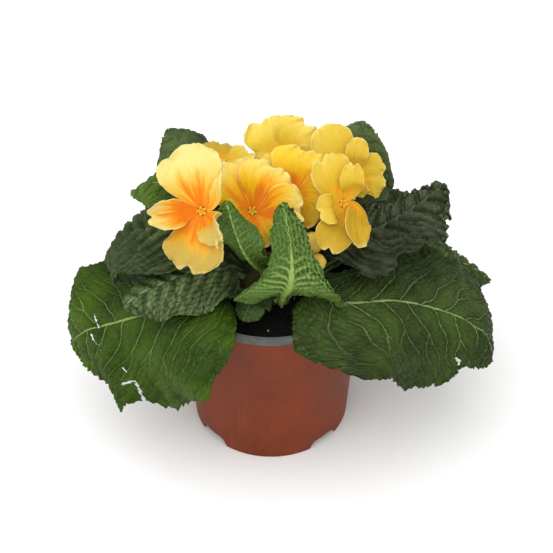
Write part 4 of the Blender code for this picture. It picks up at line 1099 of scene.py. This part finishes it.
BUDS = {
    "bud_upper": {
        "throat": (17, -10, 112), "faces": (290, 50), "root": (6.8, -2.6), "bud_length": 13,
        "bud_radius": 4.8,
    },
    "bud_lower": {
        "throat": (20, -18, 108), "faces": (290, 50), "root": (6.0, -5.8), "bud_length": 9,
        "bud_radius": 3.6,
    },
}

# Each yellow: the petal's rim, its middle, how far out the middle's gold goes, and how far the orange.
YELLOWS = {
    "cream": ((232, 218, 138), (234, 196, 64), 0.66, 0.5),
    "flame": ((240, 224, 130), (244, 190, 10), 0.95, 0.56),
    "amber": ((240, 210, 76), (240, 190, 26), 0.9, 0.56),
    "golden": ((240, 216, 104), (228, 190, 54), 0.9, 0.3),
    "ochre": ((228, 198, 78), (212, 172, 38), 0.9, 0.32),
}


def bloom_frame(bloom):
    """The throat of a bloom, the way it looks, and two directions across it: to its top and its left."""
    axis = pointing(*bloom["faces"])
    top = unit(np.array([0, 0, 1]) - axis * axis[2])
    return np.array(bloom["throat"], float), axis, top, np.cross(axis, top)


def petal_half_width(half_width, along):
    """Narrow at the throat, widest past the middle, with a broad end."""
    rising = np.sin(math.pi / 2 * np.clip(along / PETAL_WIDEST, 0, 1))
    past = np.clip((along - PETAL_WIDEST) / (1 - PETAL_WIDEST), 0, 1)
    growing = CLAW_HALF_WIDTH + (half_width - CLAW_HALF_WIDTH) * rising
    return np.where(along > PETAL_WIDEST, half_width * np.sqrt(1 - PETAL_END * past**2), growing)


def petal_places(bloom, order, along, across, seed):
    """Where the points of a petal's upper face lie. `along` is 0 at the throat and 1 at the tip."""
    turn, length, lean, half_width, arch, fold, curl, twist = bloom["petals"][order]
    throat, axis, top, left_way = bloom_frame(bloom)

    def around(degrees):
        angle = np.radians(np.asarray(degrees, float))[..., None]
        return top * np.cos(angle) + left_way * np.sin(angle)

    foot_way = around(bloom["ring"] + 360 / PETALS * order)
    way_out = around(turn) * math.cos(math.radians(lean)) + axis * math.sin(math.radians(lean))
    route = [
        throat + foot_way * THROAT_RADIUS,
        throat + foot_way * THROAT_RADIUS * 3 + axis * PETAL_FOOT_LIFT,
        throat + way_out * length * PETAL_BEND + axis * arch,
        throat + way_out * length,
    ]
    spine = smooth_route(route, SPINE_STATIONS)
    way = unit(np.gradient(spine, axis=0))
    side = unit(np.cross(axis, way))
    up = np.cross(way, side)
    roll = np.radians(twist * np.linspace(0, 1, SPINE_STATIONS) ** 0.6)[:, None]
    side, up = side * np.cos(roll) + up * np.sin(roll), up * np.cos(roll) - side * np.sin(roll)

    out = np.abs(across)
    reach, lift = side_sweep(petal_half_width(half_width, along), fold * along, curl * along, out)
    lift = lift + bloom["ruffle"] * along**2 * out * np.sin(3.1 * across + 5 * along + order)
    rim = np.maximum(out, np.clip(along * 1.08 - 0.08, 0, 1))
    wide, run = across * half_width, along * length
    frill = rim**4 * along * soft_noise(wide + 0.5 * run, PETAL_FRILL_PITCH, seed)
    fine_frill = rim**6 * along * soft_noise(wide - run, FINE_FRILL_PITCH, seed + 1)
    lift = lift + bloom["ruffle"] * (1.2 * frill + 0.4 * fine_frill)
    middle = np.sin(math.pi * along)
    lift = lift - CREASE_DEPTH * along * np.exp(-((across / CREASE_HALF_WIDTH) ** 2)) * middle
    lift = lift + PLEAT_DEPTH * middle * soft_noise(across + 0.15 * along, PLEAT_PITCH, seed + 7)
    edge = 0.016 * soft_noise(wide, 8.0, seed + 3)
    ragged = 0.025 * out**4 * np.clip(along * 4 - 1, 0, 1) * soft_noise(run, 7.0, seed + 5)
    off_notch = across - bloom["notch_at"][order]
    notch = NOTCH_DEPTH * np.exp(-((off_notch / NOTCH_HALF_WIDTH) ** 2)) + TIP_ROUNDING * out**3
    station = along * (1 - notch * along**3 + edge * along**6) * (SPINE_STATIONS - 1)
    station = np.clip(station, 0, SPINE_STATIONS - 1)
    placed = swept(spine, side, up, station, reach * (1 + ragged) * np.sign(across), lift)
    ring = throat + around(bloom["ring"] + 360 / PETALS * (order + across / 2)) * RING_RADIUS
    near = np.clip(1 - along * CAD_PETAL_ROWS, 0, 1)[:, None]
    return placed * (1 - near) + ring * near


def petal_yellow(name, rim, middle, gold, blaze):
    """A thin soft petal: pale at its rim, golden to the throat, with orange tongues that fan out of it."""
    finish = Finish(name, middle, 0.62, 0.2)
    finish.shader.inputs["Subsurface Weight"].default_value = 0.12
    finish.shader.inputs["Subsurface Radius"].default_value = (1, 0.6, 0.15)
    finish.shader.inputs["Subsurface Scale"].default_value = 0.002
    along = finish.kept("along")
    across = finish.kept("across")
    out = across.math("ABSOLUTE")
    fan = across * along.ranged(0.0, 1.0, 1.6, 0.8)
    feeds = {"X": fan, "Y": finish.kept("petal_seed"), "Z": along * 0.3}
    ray = finish.field("ShaderNodeCombineXYZ", feeds)
    broad = finish.grain(ray, 3.2, 2, 0.5).ranged(0.32, 0.68, -0.2, 0.2)
    narrow = finish.grain(ray, 11, 4, 0.6).ranged(0.3, 0.7, -0.14, 0.14)
    lit = broad + narrow + blaze + finish.kept("flush") - out * 0.3 - along
    colour = finish.mixed((along + narrow * 0.8).ranged(gold - 0.45, gold + 0.1, 1.0, 0.0), rim, middle)
    colour = finish.mixed(finish.grain(ray, 24, 3).ranged(0.35, 0.7, 0.0, 0.2), colour, middle)
    # Painted shade: petals that hang down turn towards a deep ochre.
    colour = finish.mixed(finish.kept("lower"), colour, shade(176, 136, 8))
    colour = finish.mixed(lit.ranged(-0.12, 0.16, 0.0, 0.85), colour, shade(244, 166, 22))
    colour = finish.mixed(lit.ranged(0.08, 0.36, 0.0, 0.85), colour, shade(236, 114, 10))
    edge = out.math("MAXIMUM", along).ranged(0.92, 1.0, 0.0, 0.4)
    finish.paint("Base Color", finish.mixed(edge, colour, shade(250, 236, 170)))
    finish.bumped(finish.grain(ray, 30, 3) + finish.grain(ray, 9, 2), 0.3, 0.7)
    return finish


def wrapped_tube(shape, line, top, left_way, radius_at, sides):
    """A tube round a line of points, with a radius for each row and angle. Its seam is left open."""
    rows = len(line) - 1
    made = bmesh.ops.create_grid(shape, x_segments=rows, y_segments=sides, size=1)["verts"]
    along, across = grid_spots(made)
    row = np.rint(along * rows).astype(int)
    angle = across * math.pi
    top, left_way = (np.broadcast_to(way, line.shape)[row] for way in (top, left_way))
    ring = top * np.cos(angle)[:, None] + left_way * np.sin(angle)[:, None]
    move_to(made, line[row] + ring * radius_at(row, angle)[:, None])
    return made, row, angle


def closed(shape):
    """Joins the points that meet, at a tube's seam and at an end where its radius is nothing."""
    bmesh.ops.remove_doubles(shape, verts=shape.verts, dist=0.000005)
    bmesh.ops.recalc_face_normals(shape, faces=shape.faces)
    return shape


def make_corolla(name, bloom, finish, seed):
    """The five petals of a bloom and the tube behind them."""
    throat, axis, top, left_way = bloom_frame(bloom)
    shape = bmesh.new()
    kept = []
    segments = {"x_segments": PETAL_ROWS, "y_segments": PETAL_COLUMNS}
    for order in range(PETALS):
        made = bmesh.ops.create_grid(shape, size=1, **segments)["verts"]
        along, across = grid_spots(made)
        move_to(made, petal_places(bloom, order, along, across, seed + order))
        # A petal that hangs down gets painted shade, the more the lower it points.
        hanging = max(0, -math.cos(math.radians(bloom["petals"][order][0])))
        values = (seed + order * 3.7, HANGING_SHADE_DEPTH * hanging, bloom["flush"][order])
        kept.append(np.broadcast_arrays(along, across, *values))
    depth = np.linspace(0, 1, TUBE_ROWS + 1)
    radii = RING_RADIUS + (TUBE_RADIUS - RING_RADIUS) * np.clip(depth * 5, 0, 1)
    line = throat - axis * (depth * TUBE_LENGTH)[:, None]
    tube = wrapped_tube(shape, line, top, left_way, lambda row, angle: radii[row], TUBE_SIDES)[0]
    kept.append(np.broadcast_arrays(np.full(len(tube), TUBE_ALONG), 0, seed, 0, 0))
    made = finished_object(name, shape, [finish])
    keep_values(made.data, dict(zip(PETAL_FIELDS, np.hstack(kept))))
    shell_on(made, PETAL_THICKNESS, 0)
    return made


def make_eye(name, bloom):
    """The star-shaped rim of the throat, its sunken floor, and the round stigma in the middle."""
    throat, axis, top, left_way = bloom_frame(bloom)
    radii = np.array(EYE_RADII)

    def radius_at(row, angle):
        star = np.cos(PETALS * (angle - math.radians(bloom["ring"])))
        return radii[row] * (1 + 0.25 * star * np.clip(radii[row] - 0.7, 0, 1))

    shape = bmesh.new()
    line = throat + axis * np.array(EYE_DEPTHS)[:, None]
    wrapped_tube(shape, line, top, left_way, radius_at, EYE_SIDES)
    middle = Matrix.Translation(Vector(throat - axis * STIGMA_DEPTH) * MM)
    bmesh.ops.create_icosphere(shape, subdivisions=2, radius=STIGMA_RADIUS * MM, matrix=middle)
    return finished_object(name, closed(shape), [eye_finish])


def stem_green():
    """Pale downy green, browner towards the foot."""
    finish = Finish("stem_green", shade(132, 152, 76), 0.6, 0.35)
    where = finish.place()
    tone = finish.grain(where, 500, 4)
    low = finish.mixed(tone, shade(92, 94, 52), shade(126, 126, 76))
    high = finish.mixed(tone, shade(104, 134, 52), shade(152, 176, 88))
    finish.paint("Base Color", finish.mixed(finish.height(where).ranged(0.09, 0.125), low, high))
    finish.bumped(finish.grain(where, 2500, 3), 0.12)
    return finish


def make_stem(name, bloom):
    """The thin stalk from the rootstock, and the calyx, a five-ribbed cup with pointed teeth."""
    throat, axis, top, left_way = bloom_frame(bloom)
    foot = throat - axis * CALYX_FOOT
    x, y = bloom["root"]
    rise = math.sqrt(1 - (x * x + y * y) / STOCK_RADIUS**2) * STOCK_HALF_HEIGHT
    root = np.array([x, y, STOCK_CENTRE + rise - STEM_DEPTH_IN_STOCK])
    pull = np.linalg.norm(foot - root) * STEM_STIFFNESS
    share = np.linspace(0, 1, STEM_STATIONS)[:, None]
    rest = 1 - share
    lead, follow = root + [0, 0, pull], foot - axis * pull * 0.7
    line = root * rest**3 + 3 * lead * share * rest**2 + 3 * follow * share**2 * rest + foot * share**3
    line = np.vstack([line[:1], line, foot + axis * STEM_DEPTH_IN_CALYX])
    way = unit(np.gradient(line, axis=0) + 1e-9)
    first = unit(np.cross(way, left_way))
    radii = np.full(len(line), STEM_RADIUS)
    radii[[0, -1]] = 0
    shape = bmesh.new()
    wrapped_tube(shape, line, first, np.cross(way, first), lambda row, angle: radii[row], STEM_SIDES)

    share = np.linspace(0, 1, CALYX_ROWS + 1)
    outside = np.clip(share * 2, 0, 1)
    inside = np.clip(share * 2 - 1, 0, 1)
    height = outside * (1 - inside * 0.9)
    swell = np.sin(math.pi / 2 * np.clip(height * 2.2, 0, 1)) ** 0.7 * (CALYX_RADIUS + 0.35 * height)
    swell = swell - CALYX_THICKNESS * np.clip(inside * 12, 0, 1)
    swell[-1] = 0
    line = foot + axis * (height * (CALYX_FOOT - CALYX_MOUTH))[:, None]

    def calyx_radius(row, angle):
        rib = np.cos(PETALS * angle)
        return np.clip(swell[row], 0, None) * (1 + 0.1 * rib * np.clip(height[row] * 3, 0, 1))

    made, row, angle = wrapped_tube(shape, line, top, left_way, calyx_radius, CALYX_SIDES)
    tooth = np.clip(np.cos(PETALS * angle) * 0.5 + 0.5, 0, 1) ** 1.4
    stretch = CALYX_TOOTH * (tooth - 0.45) * np.clip(height[row] * 3 - 2, 0, 1)
    for corner, push in zip(made, stretch):
        corner.co += Vector(axis) * float(push) * MM
    return finished_object(name, closed(shape), [stem_finish])


def make_bud(name, bloom, finish):
    """A furled bud: five petals wound round each other in a spiral, on a short tube."""
    throat, axis, top, left_way = bloom_frame(bloom)
    length, radius = bloom["bud_length"], bloom["bud_radius"]
    height = np.linspace(0, 1, BUD_ROWS + 1) * (TUBE_LENGTH + length) - TUBE_LENGTH
    stops = [-1.0, *(stop * length for stop in BUD_STOPS)]
    swell = np.interp(height, stops, [TUBE_RADIUS, *(size * radius for size in BUD_SWELL)])
    swell[0] = 0

    def bud_radius(row, angle):
        wound = (PETALS * angle / FULL_TURN + 0.13 * height[row]) % 1
        lap = np.clip(wound * 6, 0, 1) * (1 - 0.5 * wound) - 0.4
        return swell[row] * (1 + 0.26 * lap * np.clip(height[row] / length * 3, 0, 1))

    shape = bmesh.new()
    wrapped_tube(shape, throat + axis * height[:, None], top, left_way, bud_radius, BUD_SIDES)
    spots = np.array([corner.co for corner in closed(shape).verts]) / MM - throat
    made = finished_object(name, shape, [finish])
    fields = {
        "along": 0.25 + 0.6 * np.clip(spots @ axis / length, 0, 1),
        "across": np.arctan2(spots @ left_way, spots @ top) / math.pi,
        "petal_seed": 3.3,
    }
    keep_values(made.data, fields)
    return made


yellow_finishes = {
    name: petal_yellow("petal_" + name, shade(*rim), shade(*middle), gold, blaze)
    for name, (rim, middle, gold, blaze) in YELLOWS.items()
}
eye_finish = mottled("eye_yellow", (226, 160, 34), 0.6, 0.2, ((212, 158, 30), (242, 192, 54)), (1400, 3))
stem_finish = stem_green()
for bloom_order, (bloom_name, own) in enumerate(BLOOMS.items()):
    bloom_habit = {**BLOOM_HABIT, **own}
    own_yellow = yellow_finishes[bloom_habit["yellow"]]
    corolla = make_corolla(bloom_name + "_corolla", bloom_habit, own_yellow, 10 * bloom_order + 1)
    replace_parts(corolla, bloom_name + "_petals")
    make_eye(bloom_name + "_eye", bloom_habit)
    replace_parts(make_stem(bloom_name + "_stem", bloom_habit), bloom_name + "_stalk")
for bud_name, bud in BUDS.items():
    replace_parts(make_bud(bud_name + "_furled", bud, yellow_finishes["golden"]), bud_name + "_petals")
    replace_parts(make_stem(bud_name + "_stem", bud), bud_name + "_stalk")


# Studio. A plain white floor under soft light from two broad panels far off, and a camera that looks down
# on the plant as the photograph does.
FLOOR_WHITE = (0.97, 0.97, 0.97)
FLOOR_HALF_WIDTH = 3
CAMERA_RISE = 41.8
CAMERA_DISTANCE = 608.4
CAMERA_TARGET = (2.68 - BOX_MIDDLE[0], -BOX_MIDDLE[1], 84.4)
FRAME_PIXELS = 553
FOCAL_PIXELS = 1300
SENSOR = 36


def make_floor():
    shape = bmesh.new()
    bmesh.ops.create_grid(shape, x_segments=1, y_segments=1, size=FLOOR_HALF_WIDTH)
    floor = object_from("floor", shape)
    floor.data.materials.append(Finish("floor_white", FLOOR_WHITE, 0.9, 0.1).material)


def aimed(made, way):
    """Turns a lamp or a camera so that it looks back along the way it lies from its target."""
    made.rotation_mode = "QUATERNION"
    made.rotation_quaternion = (-Vector(way)).to_track_quat("-Z", "Y")


def make_light(name, rise, bearing, strength, softness):
    """A broad soft panel far off, up at this rise and bearing, in degrees."""
    lamp = bpy.data.lights.new(name, "SUN")
    lamp.energy = strength
    lamp.angle = math.radians(softness)
    made = in_scene(name, lamp)
    made.location = pointing(bearing, rise)
    aimed(made, pointing(bearing, rise))


def make_camera():
    back = pointing(270, CAMERA_RISE)
    lens = bpy.data.cameras.new("camera")
    lens.sensor_width = SENSOR
    lens.lens = FOCAL_PIXELS / FRAME_PIXELS * SENSOR
    lens.clip_start = 0.01
    camera = in_scene("camera", lens)
    camera.location = (CAMERA_TARGET + back * CAMERA_DISTANCE) * MM
    aimed(camera, back)
    bpy.context.scene.camera = camera


make_floor()
make_light("key_panel", 64, 238, 1.85, 70)
make_light("fill_panel", 40, 320, 0.4, 90)
make_camera()
sky = bpy.data.worlds.new("studio")
sky.use_nodes = True
sky.node_tree.nodes["Background"].inputs["Color"].default_value = (1, 1, 1, 1)
sky.node_tree.nodes["Background"].inputs["Strength"].default_value = 0.66
bpy.context.scene.world = sky
bpy.context.scene.view_settings.view_transform = "Standard"
